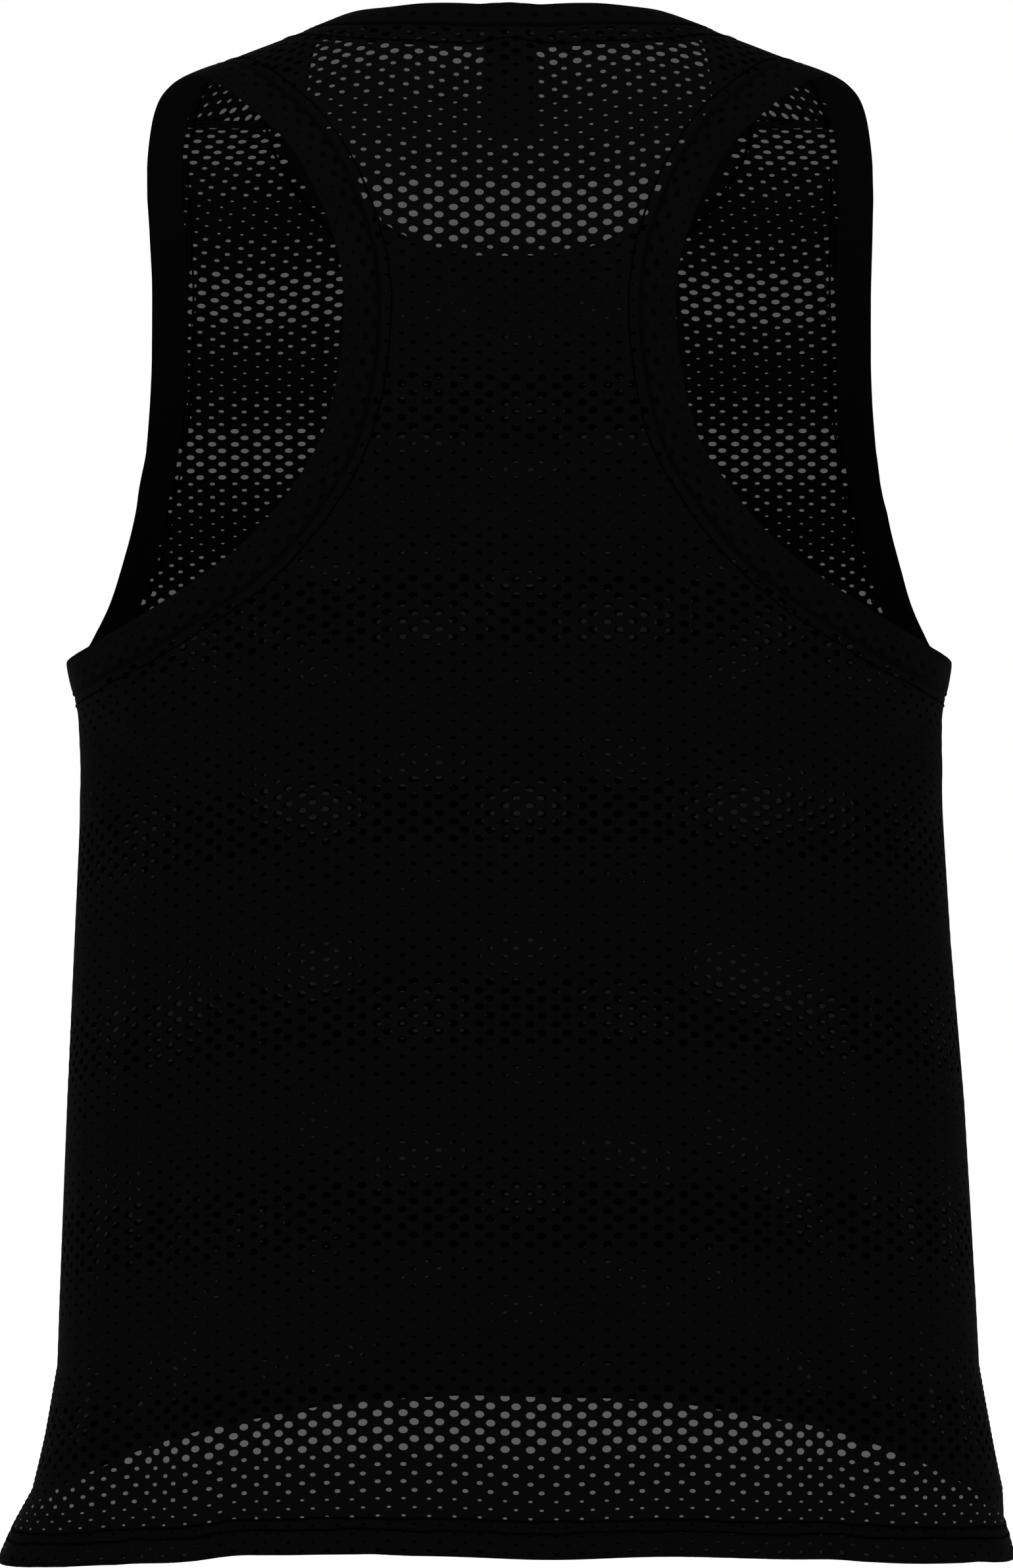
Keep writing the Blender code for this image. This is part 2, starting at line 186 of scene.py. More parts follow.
SHOULDER_SLOPE, HEM_DIP = 0.374, 24.0
NAPE_RADIUS, NAPE_HALF_WIDTH, NAPE_FADE = 18.0, 20.0, 60.0
SLIT_TOP_Z, SLIT_LENGTH, SLIT_OPENING, SLIT_POWER = -581.0, 88.0, 5.0, 8

# Half the width of the worn garment: height, to the left, to the right
WIDTHS = np.array((
    (-668, 219.8, 217.0),
    (-650, 212.4, 212.4),
    (-635, 205.4, 212.0),
    (-610, 199.9, 207.4),
    (-581, 195.0, 202.3),
    (-551, 194.0, 200.8),
    (-466, 190.7, 195.8),
    (-398, 187.6, 190.0),
    (-330, 184.4, 185.6),
    (-300, 185.9, 186.3),
    (-278, 190.2, 189.6),
    (-235, 191.0, 192.4),
    (-208, 190.4, 192.2),
    (-195, 191.0, 191.0),
))

# How much wider the front's straps are worn, past the shoulder: height, to the left, to the right
FRONT_STRAP_LEVELS = (15, 17)
FRONT_WIDER = np.array((
    (-200, 0.0, 0.0),
    (-184, -1.6, 0.0),
    (-160, -1.3, 0.3),
    (-130, -0.2, 1.7),
    (-92, 0.2, 2.3),
    (-60, 1.0, 2.5),
    (-33, 2.0, 2.7),
    (-10, 1.8, 2.0),
    (8, 0.6, 0.6),
    (20, 0.0, 0.0),
))

# How much higher the back hem hangs than an even curve: x, height
BACK_HEM_RISE = np.array((
    (-213, 6.9), (-197, 6.6), (-188, 5.2), (-170, 3.0), (-145, 0.2), (-60, 0.8), (0, 1.0),
    (40, 0.9), (58, 1.6), (98, 1.6), (128, 0.6), (163, 0.4), (179, 2.5), (197, 4.2), (213, 5.2),
))

# Soft upright folds: panel, height where they start, height where they are full, x at the
# start, x at the hem, half width, how far they stand out
FOLDS = (
    ("back", -290, -520, 128, 160, 17, -8.0),
    ("back", -480, -640, 102, 114, 14, -6.0),
    ("back", -290, -510, -127, -139, 20, -9.0),
    ("back", -500, -640, -16, -16, 34, 9.0),
    ("front", -260, -540, 92, 118, 24, -8.0),
    ("front", -270, -520, -86, -110, 22, -9.0),
    ("front", -470, -600, 14, 20, 30, 7.0),
)

# Short soft creases, pressed in by wearing: panel, one end (x, z), other end (x, z), half
# width, how far they stand out
CREASES = (
    ("back", 176, -305, 120, -352, 7.0, -1.6),
    ("back", 180, -330, 138, -392, 8.0, 1.4),
    ("back", -178, -300, -128, -344, 7.0, -1.7),
    ("back", -182, -322, -146, -380, 8.0, 1.3),
    ("back", 60, -372, 150, -388, 11.0, -1.0),
    ("back", -52, -420, -142, -404, 12.0, -1.1),
    ("back", 176, -600, 150, -652, 8.0, 2.2),
    ("back", -172, -590, -158, -655, 9.0, 2.0),
    ("back", 62, -585, 66, -644, 13.0, 1.8),
    ("back", -84, -570, -92, -646, 14.0, 2.0),
    ("front", 172, -300, 122, -340, 8.0, -1.8),
    ("front", -174, -304, -118, -350, 8.0, -1.7),
    ("front", 88, -232, 138, -262, 10.0, 1.4),
    ("front", -84, -236, -134, -258, 10.0, 1.3),
    ("front", 48, -400, 128, -424, 12.0, -1.3),
    ("front", -60, -372, -140, -388, 11.0, -1.2),
    ("front", 60, -560, 64, -612, 13.0, 2.0),
    ("front", -44, -548, -50, -612, 12.0, 2.2),
    ("front", 118, -92, 122, -190, 12.0, -2.4),
    ("front", -116, -96, -120, -186, 12.0, -2.0),
)


def through(table, place, column):
    """A smooth curve through one column of a table, one row for each whole number."""
    values = np.asarray(table, float)[:, column]
    first = np.clip(np.floor(place).astype(int), 0, len(values) - 2)
    share = np.clip(place - first, 0.0, 1.0)
    before_first = 2 * values[0] - values[1]
    after_last = 2 * values[-1] - values[-2]
    padded = np.concatenate(([before_first], values, [after_last]))
    before, start, end, after = (padded[first + i] for i in range(4))
    return 0.5 * (
        2 * start
        + (end - before) * share
        + (2 * before - 5 * start + 4 * end - after) * share**2
        + (3 * start - before - 3 * end + after) * share**3
    )


def between(table, place, column=1):
    """One column of a table read at places in its first column."""
    return np.interp(place, table[:, 0], table[:, column])


def grown(place, start, full):
    """0 up to one place and 1 from another, with an even rise between them."""
    return np.clip((place - start) / (full - start), 0.0, 1.0)


def eased(share):
    """0 to 1 with a soft start and a soft end."""
    share = np.clip(share, 0.0, 1.0)
    return share * share * (3 - 2 * share)


def unit(vectors):
    """Vectors of length one in the same directions."""
    return vectors / np.maximum(np.linalg.norm(vectors, axis=-1, keepdims=True), 1e-9)


def run_along(points, axis=0):
    """How far each of a row of points lies along it."""
    steps = np.linalg.norm(np.diff(points, axis=axis), axis=-1)
    start = np.zeros_like(np.take(steps, [0], axis=axis))
    return np.concatenate([start, np.cumsum(steps, axis=axis)], axis)


def folded_out(x, z, on_back):
    """How far the upright folds move the cloth outwards."""
    push = np.zeros_like(x)
    for panel, top_z, full_z, top_x, hem_x, half_width, height in FOLDS:
        middle = top_x + (hem_x - top_x) * (top_z - z) / (top_z - LEVELS[0][1])
        share = eased(grown(z, top_z, full_z)) * (on_back == (panel == "back"))
        push += share * height * np.exp(-(((x - middle) / half_width) ** 2))
    return push


def creased_out(x, z, on_back):
    """How far the short creases move the cloth outwards."""
    push = np.zeros_like(x)
    for panel, x0, z0, x1, z1, half_width, height in CREASES:
        length = math.hypot(x1 - x0, z1 - z0)
        along = ((x - x0) * (x1 - x0) + (z - z0) * (z1 - z0)) / length**2
        aside = ((x - x0) * (z1 - z0) - (z - z0) * (x1 - x0)) / length
        fade = eased(along * 3 + 0.5) * eased((1 - along) * 3 + 0.5)
        share = fade * (on_back == (panel == "back"))
        push += share * height * np.exp(-((aside / half_width) ** 2))
    return push


def shoulder_run(aside):
    """The distance from the middle over which the shoulders slope down, rounded at the nape."""
    rounded = np.hypot(aside, NAPE_RADIUS) - NAPE_RADIUS
    return aside + (rounded - aside) * (1 - eased((aside - NAPE_HALF_WIDTH) / NAPE_FADE))


def worn_surface(turn, level):
    """Points of the worn cloth in millimetres. Turn is -1 to 1 from side to side."""
    turn, level = np.broadcast_arrays(np.asarray(turn, float), np.asarray(level, float))
    centre_y, centre_z, slope, dip, square = (through(LEVELS, level, i) for i in range(5))
    reach = np.sin(np.abs(turn) * np.pi / 2)
    z = centre_z - HEM_DIP * dip * reach**3
    on_front = eased(grown(level, *FRONT_STRAP_LEVELS))
    left, right = (between(WIDTHS, z, i) + on_front * between(FRONT_WIDER, z, i) for i in (1, 2))
    x = np.sign(turn) * reach * np.where(turn > 0, left, right)
    z = z - SHOULDER_SLOPE * slope * shoulder_run(np.abs(x))
    z = z + eased(1 - level) * between(BACK_HEM_RISE, x)
    depth = np.maximum(1 - reach**square, 0.0) ** (1 / square)
    y = SIDE_SEAM_Y + (centre_y - SIDE_SEAM_Y) * depth
    on_back = level < SHOULDER_LEVEL
    opened = grown(z, SLIT_TOP_Z, SLIT_TOP_Z - SLIT_LENGTH)
    push = SLIT_OPENING * opened * reach**SLIT_POWER + folded_out(x, z, on_back)
    return np.stack([x, y + np.where(on_back, push, -push), z], -1)


SLOPE_STEP = 0.004


def surface_frame(turn, level):
    """The surface's two directions and its outward unit normal."""
    low, high = np.maximum(turn - SLOPE_STEP, -1.0), np.minimum(turn + SLOPE_STEP, 1.0)
    down, up = np.maximum(level - SLOPE_STEP, 0.0), np.minimum(level + SLOPE_STEP, FRONT_HEM)
    across = (worn_surface(high, level) - worn_surface(low, level)) / (high - low)[..., None]
    along = (worn_surface(turn, up) - worn_surface(turn, down)) / (up - down)[..., None]
    return across, along, unit(np.cross(along, across))


def on_garment(turn, level, lift):
    """Points in metres on the worn and creased cloth, lifted off it along its normal."""
    point = worn_surface(turn, level)
    normal = surface_frame(turn, level)[2]
    rise = lift + creased_out(point[..., 0], point[..., 2], level < SHOULDER_LEVEL)
    return (point + normal * np.asarray(rise)[..., None]) * MM


def read_table(table, row, column):
    """A table of numbers read between its rows and columns."""
    r = np.clip(np.floor(row).astype(int), 0, table.shape[0] - 2)
    c = np.clip(np.floor(column).astype(int), 0, table.shape[1] - 2)
    row_share, column_share = np.clip(row - r, 0, 1), np.clip(column - c, 0, 1)
    low = table[r, c] * (1 - column_share) + table[r, c + 1] * column_share
    high = table[r + 1, c] * (1 - column_share) + table[r + 1, c + 1] * column_share
    return low * (1 - row_share) + high * row_share


class FlatCloth:
    """A panel's cloth laid flat: u runs along its rows from the middle, w up from its hem."""

    columns = 321
    level_count, level_rising = 900, 600
    row_step = 2.0
    u_reach = 300

    def __init__(self, hem_level, top_level, level_row_z=None):
        self.hem_level = hem_level
        self.top_level = top_level
        turns = np.linspace(-1, 1, self.columns)
        levels = np.linspace(hem_level, top_level, self.level_count)
        points = worn_surface(turns[None, :], levels[:, None])
        heights = run_along(points)
        if level_row_z is not None:
            low = slice(self.level_rising)
            reached = np.array([
                np.interp(level_row_z, points[low, i, 2], heights[low, i])
                for i in range(self.columns)
            ])
            heights = heights * (reached[self.columns // 2] / reached)[None, :]
        self.heights = heights
        rows = np.arange(0, heights[-1].max(), self.row_step)
        self.levels = np.stack(
            [np.interp(rows, heights[:, i], levels) for i in range(self.columns)], 1
        )
        runs = run_along(worn_surface(turns[None, :], self.levels), axis=1)
        self.runs = runs - runs[:, self.columns // 2][:, None]
        even = np.arange(-self.u_reach, self.u_reach + 1)
        self.turns = np.stack([np.interp(even, run, turns) for run in self.runs])

    def place(self, u, w):
        """Turn and level of flat places."""
        row = w / self.row_step
        turn = read_table(self.turns, row, u + self.u_reach)
        level = read_table(self.levels, row, (turn + 1) * (self.columns // 2))
        return turn, level

    def flat(self, turn, level):
        """Flat places (u, w) of turns and levels."""
        share = (level - self.hem_level) / (self.top_level - self.hem_level)
        column = (turn + 1) * (self.columns // 2)
        w = read_table(self.heights, share * (self.level_count - 1), column)
        u = read_table(self.runs, w / self.row_step, column)
        return np.stack([u, w], -1)

    def side(self, w, sign):
        """How far along its rows the cloth's side edge is."""
        column = np.full(np.shape(w), self.columns - 1.0 if sign > 0 else 0.0)
        return read_table(self.runs, np.asarray(w, float) / self.row_step, column)


HEM_FOLD = 0.55


def hem_folded(w, lift):
    """Height above the hem and lift off the surface of cloth that turns up inside at w = 0."""
    past = HEM_FOLD - w
    angle = np.clip(past / HEM_FOLD, 0.0, np.pi)
    turned = np.maximum(past - np.pi * HEM_FOLD, 0.0)
    height = np.where(past > 0, HEM_FOLD * (1 - np.sin(angle)) + turned, w)
    return height, lift * np.cos(angle) - HEM_FOLD * (1 - np.cos(angle))


# The line of stitching round the left armhole, from the side seam's back to its front: turn,
# level. Its last place, on the side seam again, is worked out below.
ARMHOLE_LINE = (
    (1.000, 5.22), (0.867, 5.22), (0.730, 5.24), (0.598, 5.30), (0.500, 5.42), (0.420, 5.58),
    (0.340, 5.82), (0.270, 6.17), (0.203, 6.68), (0.172, 7.25), (0.163, 7.80), (0.174, 8.42),
    (0.210, 9.25), (0.258, 10.12), (0.325, 11.10), (0.385, 12.20), (0.436, 13.40),
    (0.475, 14.50), (0.505, 15.40), (0.522, 16.20), (0.532, 17.60), (0.535, 19.00),
    (0.538, 20.40), (0.550, 21.35), (0.576, 22.10), (0.610, 22.60), (0.655, 23.00),
    (0.720, 23.36), (0.800, 23.60), (0.895, 23.72),
)
# The seam of the left half of the neck, from the middle back to the middle front: turn, level
NECK_SEAM = (
    (0.000, 11.10), (0.019, 11.10), (0.056, 11.15), (0.124, 11.42), (0.195, 11.89),
    (0.251, 12.55), (0.297, 13.43), (0.326, 14.34), (0.346, 15.30), (0.355, 16.25),
    (0.348, 17.06), (0.324, 17.99), (0.281, 18.90), (0.225, 19.60), (0.150, 20.06),
    (0.075, 20.26), (0.024, 20.29), (0.000, 20.30),
)
SHOULDER_SEAM = ((0.30, 17.13), (0.62, 15.66))
ARMHOLE_STRIP, NECK_STRIP_BACK, NECK_STRIP_FRONT = 4.4, 9.8, 7.0
PATH_PLACES, SIDEWAYS_STEPS, SIDE_SEAM_PLACES = 401, 5, 3001


def evenly_spaced(turn, level, count=PATH_PLACES):
    """Places at even distances over the cloth along a path."""
    run = run_along(worn_surface(turn, level))
    even = np.linspace(0.0, run[-1], count)
    return np.interp(even, run, turn), np.interp(even, run, level)


def path_through(table):
    """A smooth path through a table of turns and levels."""
    rows = np.linspace(0, len(table) - 1, 2 * PATH_PLACES)
    turn = np.clip(through(table, rows, 0), -1.0, 1.0)
    return evenly_spaced(turn, through(table, rows, 1))


def moved_across(turn, level, distance):
    """A path moved sideways over the cloth, to the right of its own direction."""
    step = np.asarray(distance, float) / SIDEWAYS_STEPS * np.ones(len(turn))
    for _ in range(SIDEWAYS_STEPS):
        across, along, normal = surface_frame(turn, level)
        heading = np.gradient(worn_surface(turn, level), axis=0)
        heading[0] = across[0] if turn[0] < 0.5 else -across[0]
        heading[-1] = -across[-1] if turn[-1] < 0.5 else across[-1]
        way = unit(np.cross(heading, normal)) * step[:, None]
        aa, ab = np.sum(across * across, 1), np.sum(across * along, 1)
        bb = np.sum(along * along, 1)
        wa, wb = (np.sum(way * p, 1) for p in (across, along))
        size = aa * bb - ab * ab
        new_turn = turn + (wa * bb - wb * ab) / size
        new_level = level + (wb * aa - wa * ab) / size
        for end in (0, -1):
            new_turn[end] = turn[end]
            new_level[end] = level[end] + wb[end] / bb[end]
        turn, level = np.clip(new_turn, -1.0, 1.0), new_level
    return turn, level


def shoulder_seam_level(turn):
    """The level of the shoulder seam, which runs straight from the neck to the armhole."""
    (turn_a, level_a), (turn_b, level_b) = SHOULDER_SEAM
    return level_a + (level_b - level_a) / (turn_b - turn_a) * (turn - turn_a)


def split_at_shoulder(turn, level):
    """A path's back half and front half, each from its lower end up to the shoulder seam."""
    past = level - shoulder_seam_level(turn)
    i = int(np.argmax(past > 0)) - 1
    share = past[i] / (past[i] - past[i + 1])
    turn_on = turn[i] + share * (turn[i + 1] - turn[i])
    level_on = level[i] + share * (level[i + 1] - level[i])
    back = np.append(turn[: i + 1], turn_on), np.append(level[: i + 1], level_on)
    front = np.append(turn[: i : -1], turn_on), np.append(level[: i : -1], level_on)
    return back, front


side_levels = np.linspace(FRONT_HEM, SHOULDER_LEVEL, SIDE_SEAM_PLACES)
side_heights = worn_surface(1.0, side_levels)[:, 2]
underarm_z = worn_surface(*ARMHOLE_LINE[0])[2]
front_underarm = (1.0, float(np.interp(underarm_z, side_heights, side_levels)))
armhole_stitching = path_through(ARMHOLE_LINE + (front_underarm,))
armhole_seam = evenly_spaced(*moved_across(*armhole_stitching, -ARMHOLE_STRIP))
neck_seam = path_through(NECK_SEAM)
neck_in_front = eased(grown(neck_seam[1], 13, 15))
neck_strip = NECK_STRIP_BACK + (NECK_STRIP_FRONT - NECK_STRIP_BACK) * neck_in_front
neck_stitching = moved_across(*neck_seam, -neck_strip)
armhole_halves = split_at_shoulder(*armhole_seam)
neck_halves = split_at_shoulder(*neck_seam)

TURN_UP = 15.6
SHOULDER_PLACES, SIDE_PLACES, TURN_UP_PLACES = 30, 79, 7
shoulder_seam = tuple(
    np.linspace(armhole_halves[0][i][-1], neck_halves[0][i][-1], SHOULDER_PLACES) for i in (0, 1)
)


def panel_outline(cloth, neck, armhole, shoulder):
    """The cut edge of a panel laid flat, all round, and its corners."""
    halves, corners = [], []
    shoulder_turn, shoulder_level = (values[-2:0:-1] for values in shoulder)
    for sign in (1, -1):
        top_w = cloth.flat(np.array([float(sign)]), armhole[1][:1])[0, 1]
        side_w = np.linspace(top_w, 0.0, SIDE_PLACES + 1)[1:]
        turned_w = np.linspace(0.0, TURN_UP, TURN_UP_PLACES + 1)[1:]
        side = np.stack([cloth.side(side_w, sign), side_w], 1)
        turned = np.stack([cloth.side(turned_w, sign), -turned_w], 1)
        neck_edge = cloth.flat(sign * neck[0], neck[1])
        shoulder_edge = cloth.flat(sign * shoulder_turn, shoulder_level)
        armhole_edge = cloth.flat(sign * armhole[0], armhole[1])[::-1]
        halves.append(np.concatenate([neck_edge, shoulder_edge, armhole_edge, side, turned]))
        corners += [neck_edge[-1], armhole_edge[0], armhole_edge[-1], turned[-1]]
    return np.concatenate([halves[0], halves[1][::-1]]), np.array(corners)


POINTS_AT_ONCE = 4000
TINY = 1e-12


def distance_inside(points, outline):
    """How far points are inside a closed outline (negative outside) and the nearest edge point."""
    start, end = outline, np.roll(outline, -1, axis=0)
    whole = end - start
    length2 = np.maximum((whole**2).sum(1), TINY)
    away, nearest = np.empty(len(points)), np.empty((len(points), 2))
    crossed = np.zeros(len(points), int)
    for first in range(0, len(points), POINTS_AT_ONCE):
        part = slice(first, first + POINTS_AT_ONCE)
        p = points[part][:, None, :]
        share = np.clip(((p - start) * whole).sum(2) / length2, 0.0, 1.0)
        foot = start + share[..., None] * whole
        gap = ((p - foot) ** 2).sum(2)
        best = gap.argmin(1)
        away[part] = np.sqrt(gap[np.arange(len(best)), best])
        nearest[part] = foot[np.arange(len(best)), best]
        px, py = p[..., 0], p[..., 1]
        spans = (start[:, 1] > py) != (end[:, 1] > py)
        rise = np.where(whole[:, 1] == 0, TINY, whole[:, 1])
        beyond = px < start[:, 0] + (py - start[:, 1]) * whole[:, 0] / rise
        crossed[part] = (spans & beyond).sum(1)
    return np.where(crossed % 2 == 1, away, -away), nearest


# The eyelets: half their pitch along a row, the pitch from row to row, and how far rows lie
# aside of an even stagger, by turns to either side. Each panel has a table of half sizes.
HALF_COLUMN, ROW = 5.235, 3.40
UNEVEN_STAGGER = 0.36
BIG, MEDIUM, SMALL = "big", "medium", "small"
# The kinds of 24 rows, downwards from the first row of big eyelets
CYCLE = (BIG,) * 8 + (MEDIUM,) * 5 + (SMALL,) * 6 + (MEDIUM,) * 5
BACK_EYELETS = {BIG: (2.15, 1.55), MEDIUM: (1.28, 0.80), SMALL: (0.90, 0.46)}
CELL_INSET = {BIG: 1.2, MEDIUM: 1.6, SMALL: 1.6}
RIM_CUTS = {BIG: 2, MEDIUM: 1, SMALL: 1}
LIP_SHARE, LIP_DEPTH, LIP_INSET = 0.90, 0.34, 0.02
DIMPLE = 0.10
CLOTH_SLOT, EYELET_SLOT = 0, 1
CURL_WIDTH, CURL_DEPTH = 1.0, 0.45
CELL_MARGIN, EYELET_MARGIN, CORNER_MARGIN = 1.7, 1.5, 1.3
BORDER_RINGS = 3


class Weave:
    """Where a panel's knitted columns and rows (times the row pitch) lie on its flat cloth."""

    rounds = 8

    def __init__(self, eyelets, rows, first_column, stagger, rise, lean):
        self.eyelets = eyelets
        self.row_numbers, self.row_heights = zip(*rows)
        self.first_column = first_column
        self.stagger = stagger
        self.rise = rise
        self.lean = lean

    def flat(self, places):
        """Flat places (u, w) of places in the weave."""
        column, row = np.transpose(places)
        height = np.interp(row / ROW, self.row_numbers, self.row_heights)
        u = column - self.lean(column, height)
        return np.stack([u, height + self.rise(u, height)], -1)

    def woven(self, places):
        """Places in the weave of flat places."""
        u, w = column, height = np.transpose(places)
        for _ in range(self.rounds):
            height = w - self.rise(u, height)
            column = u + self.lean(column, height)
        row = np.interp(height, self.row_heights, self.row_numbers)
        return np.stack([column, row * ROW], -1)


def pulled_inside(places, outline, margin):
    """Flat places moved in to a margin from the outline, where they are nearer or outside."""
    depth, nearest = distance_inside(places, outline)
    inward = unit((places - nearest) * np.sign(depth)[:, None])
    return np.where((depth < margin)[:, None], nearest + inward * margin, places)


def lattice_inside(outline, weave):
    """A bmesh of lozenge cells that fills an outline, and each cell's middle in the weave."""
    woven = weave.woven(outline)
    pitch = np.array([HALF_COLUMN, ROW])
    middle = 2 * np.round((woven.min(0) + woven.max(0)) / 4 / pitch)
    half_cells = np.ceil(np.ptp(woven, axis=0) / 2 / pitch) + 2
    cells = 2 * math.ceil(half_cells.sum() / 2)
    sheet = bmesh.new()
    bmesh.ops.create_grid(sheet, x_segments=cells, y_segments=cells, size=cells / 2)
    quarter_turn = Matrix.Rotation(math.pi / 4, 3, "Z")
    bmesh.ops.rotate(sheet, verts=sheet.verts, cent=(0, 0, 0), matrix=quarter_turn)
    stretch = (math.sqrt(2) * HALF_COLUMN, math.sqrt(2) * ROW, 1.0)
    bmesh.ops.scale(sheet, verts=sheet.verts, vec=stretch)
    shift = (*(middle * pitch + (weave.first_column, 0.0)), 0.0)
    bmesh.ops.translate(sheet, verts=sheet.verts, vec=shift)
    middles = weave.flat([f.calc_center_median()[:2] for f in sheet.faces])
    depth = distance_inside(middles, outline)[0]
    outside = [f for f, inside in zip(sheet.faces, depth) if inside < CELL_MARGIN]
    bmesh.ops.delete(sheet, geom=outside, context="FACES")
    loose = [f for f in sheet.faces if sum(e.is_boundary for e in f.edges) > 3]
    bmesh.ops.delete(sheet, geom=loose, context="FACES")
    cell_middles = {f: f.calc_center_median() for f in sheet.faces}
    places = pulled_inside(weave.flat([v.co[:2] for v in sheet.verts]), outline, CORNER_MARGIN)
    for vert, place in zip(sheet.verts, weave.woven(places)):
        vert.co.xy = place
    return sheet, cell_middles


def add_border(sheet, outline, corners, weave):
    """Joins the lattice to the outline by a plain border whose last millimetre curls in."""
    for inward, lift in ((CURL_WIDTH, 0.0), (0.0, -CURL_DEPTH)):
        edges = [e for e in sheet.edges if e.is_boundary]
        made = bmesh.ops.extrude_edge_only(sheet, edges=edges)["geom"]
        rim = [g for g in made if isinstance(g, bmesh.types.BMVert)]
        places = weave.flat([v.co[:2] for v in rim])
        nearest = distance_inside(places, outline)[1]
        goal = nearest + unit(places - nearest) * inward
        if inward == 0:
            for corner in corners:
                goal[np.linalg.norm(goal - corner, axis=1).argmin()] = corner
        for vert, place in zip(rim, weave.woven(goal)):
            vert.co = (*place, lift)


def punch(sheet, cell_middles, kind, outline, weave):
    """Gives each cell a rounded eyelet, closed by a sheer face of its own that carries painted shade.
    The outline cuts it.
    """
    faces = list(cell_middles)
    half_long, half_short = weave.eyelets[kind]
    inset = CELL_INSET[kind]
    bmesh.ops.inset_individual(sheet, faces=faces, thickness=inset, use_even_offset=True)
    edges = list({e for f in faces for e in f.edges})
    bmesh.ops.subdivide_edges(sheet, edges=edges, cuts=RIM_CUTS[kind])
    rims, places = [], []
    for face, middle in cell_middles.items():
        face.material_index = EYELET_SLOT
        face.normal_update()
        verts = face.verts[:]
        away = verts[0].co - middle
        step = 2 * math.pi / len(verts)
        first = round(math.atan2(away.y / ROW, away.x / HALF_COLUMN) / step)
        way = 1 if face.normal.z > 0 else -1
        uneven = weave.stagger if round(middle.y / ROW) % 2 == 0 else -weave.stagger
        for i, vert in enumerate(verts):
            angle = (first + way * i) * step
            rims.append(vert)
            places.append((
                middle.x + uneven + half_long * math.cos(angle),
                middle.y + half_short * math.sin(angle),
            ))
    places = np.array(places)
    by_border = {v for f in sheet.faces if any(e.is_boundary for e in f.edges) for v in f.verts}
    for _ in range(BORDER_RINGS):
        by_border = {v for v in by_border for e in v.link_edges for f in e.link_faces for v in f.verts}
    near = np.array([v in by_border for v in rims])
    if near.any():
        cut = pulled_inside(weave.flat(places[near]), outline, EYELET_MARGIN)
        places[near] = weave.woven(cut)
    for vert, place in zip(rims, places):
        vert.co = (*place, -DIMPLE)
    if kind == BIG:
        lips = bmesh.ops.inset_individual(sheet, faces=faces, thickness=LIP_INSET)
        for lip in lips["faces"]:
            lip.material_index = CLOTH_SLOT
        for face in faces:
            centre = face.calc_center_median()
            for vert in face.verts:
                vert.co = centre + (vert.co - centre) * LIP_SHARE
                vert.co.z = -DIMPLE - LIP_DEPTH


FOLD_LINES = (HEM_FOLD, -0.3, -1.1, -2.0)


def perforated_sheet(outline, corners, weave):
    """Flat perforated knit cut to an outline and creased for its turned hem, in millimetres."""
    sheet, cell_middles = lattice_inside(outline, weave)
    add_border(sheet, outline, corners, weave)
    in_cycle = {f: CYCLE[round(-m.y / ROW) % len(CYCLE)] for f, m in cell_middles.items()}
    for kind in weave.eyelets:
        punched = {f: m for f, m in cell_middles.items() if in_cycle[f] == kind}
        punch(sheet, punched, kind, outline, weave)
    for w in FOLD_LINES:
        everything = sheet.verts[:] + sheet.edges[:] + sheet.faces[:]
        line = (0.0, weave.woven([[0.0, w]])[0, 1], 0.0)
        bmesh.ops.bisect_plane(sheet, geom=everything, dist=1e-4, plane_co=line, plane_no=(0, 1, 0))
    for vert, place in zip(sheet.verts, weave.flat([v.co[:2] for v in sheet.verts])):
        vert.co.xy = place
    sheet.normal_update()
    bmesh.ops.reverse_faces(sheet, faces=[f for f in sheet.faces if f.normal.z < 0])
    return sheet


def lay_sheet(sheet, cloth, tucked=None):
    """Notes each flat place as a UV in metres, then moves the sheet to its worn place."""
    uv = sheet.loops.layers.uv.new("cloth")
    for face in sheet.faces:
        for loop in face.loops:
            loop[uv].uv = loop.vert.co.xy * MM
    u, w, lift = np.array([v.co[:] for v in sheet.verts]).T
    w, lift = hem_folded(w, lift)
    turn, level = cloth.place(u, w)
    if tucked is not None:
        lift = lift - tucked(turn, level)
    for vert, point in zip(sheet.verts, on_garment(turn, level, lift)):
        vert.co = point


def finished_piece(name, sheet, materials, smooth_angle=40):
    """A bmesh made into a smooth piece of the garment that rides with it."""
    mesh = bpy.data.meshes.new(name)
    sheet.to_mesh(mesh)
    sheet.free()
    for material in materials:
        mesh.materials.append(material)
    mesh.shade_smooth()
    mesh.set_sharp_from_angle(angle=math.radians(smooth_angle))
    piece = placed(name, mesh)
    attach(piece, "root")
    return piece


def cloth_group(name, inputs, outputs):
    """A shader group on the flat cloth: its inputs, its outputs, the place and how to calculate."""
    group = bpy.data.node_groups.new(name, "ShaderNodeTree")
    nodes, links = group.nodes, group.links
    for label, value in inputs:
        socket = group.interface.new_socket(name=label, in_out="INPUT", socket_type="NodeSocketFloat")
        socket.default_value = value
    for label in outputs:
        group.interface.new_socket(name=label, in_out="OUTPUT", socket_type="NodeSocketFloat")
    flat = nodes.new("ShaderNodeUVMap")
    flat.uv_map = "cloth"
    place = nodes.new("ShaderNodeSeparateXYZ")
    links.new(flat.outputs["UV"], place.inputs["Vector"])

    def calculate(operation, first, second=None):
        node = nodes.new("ShaderNodeMath")
        node.operation = operation
        for index, value in enumerate((first, second)):
            if isinstance(value, (int, float)):
                node.inputs[index].default_value = value
            elif value is not None:
                links.new(value, node.inputs[index])
        return node.outputs["Value"]

    given, result = nodes.new("NodeGroupInput"), nodes.new("NodeGroupOutput")
    return group, given.outputs, result.inputs, place.outputs, calculate


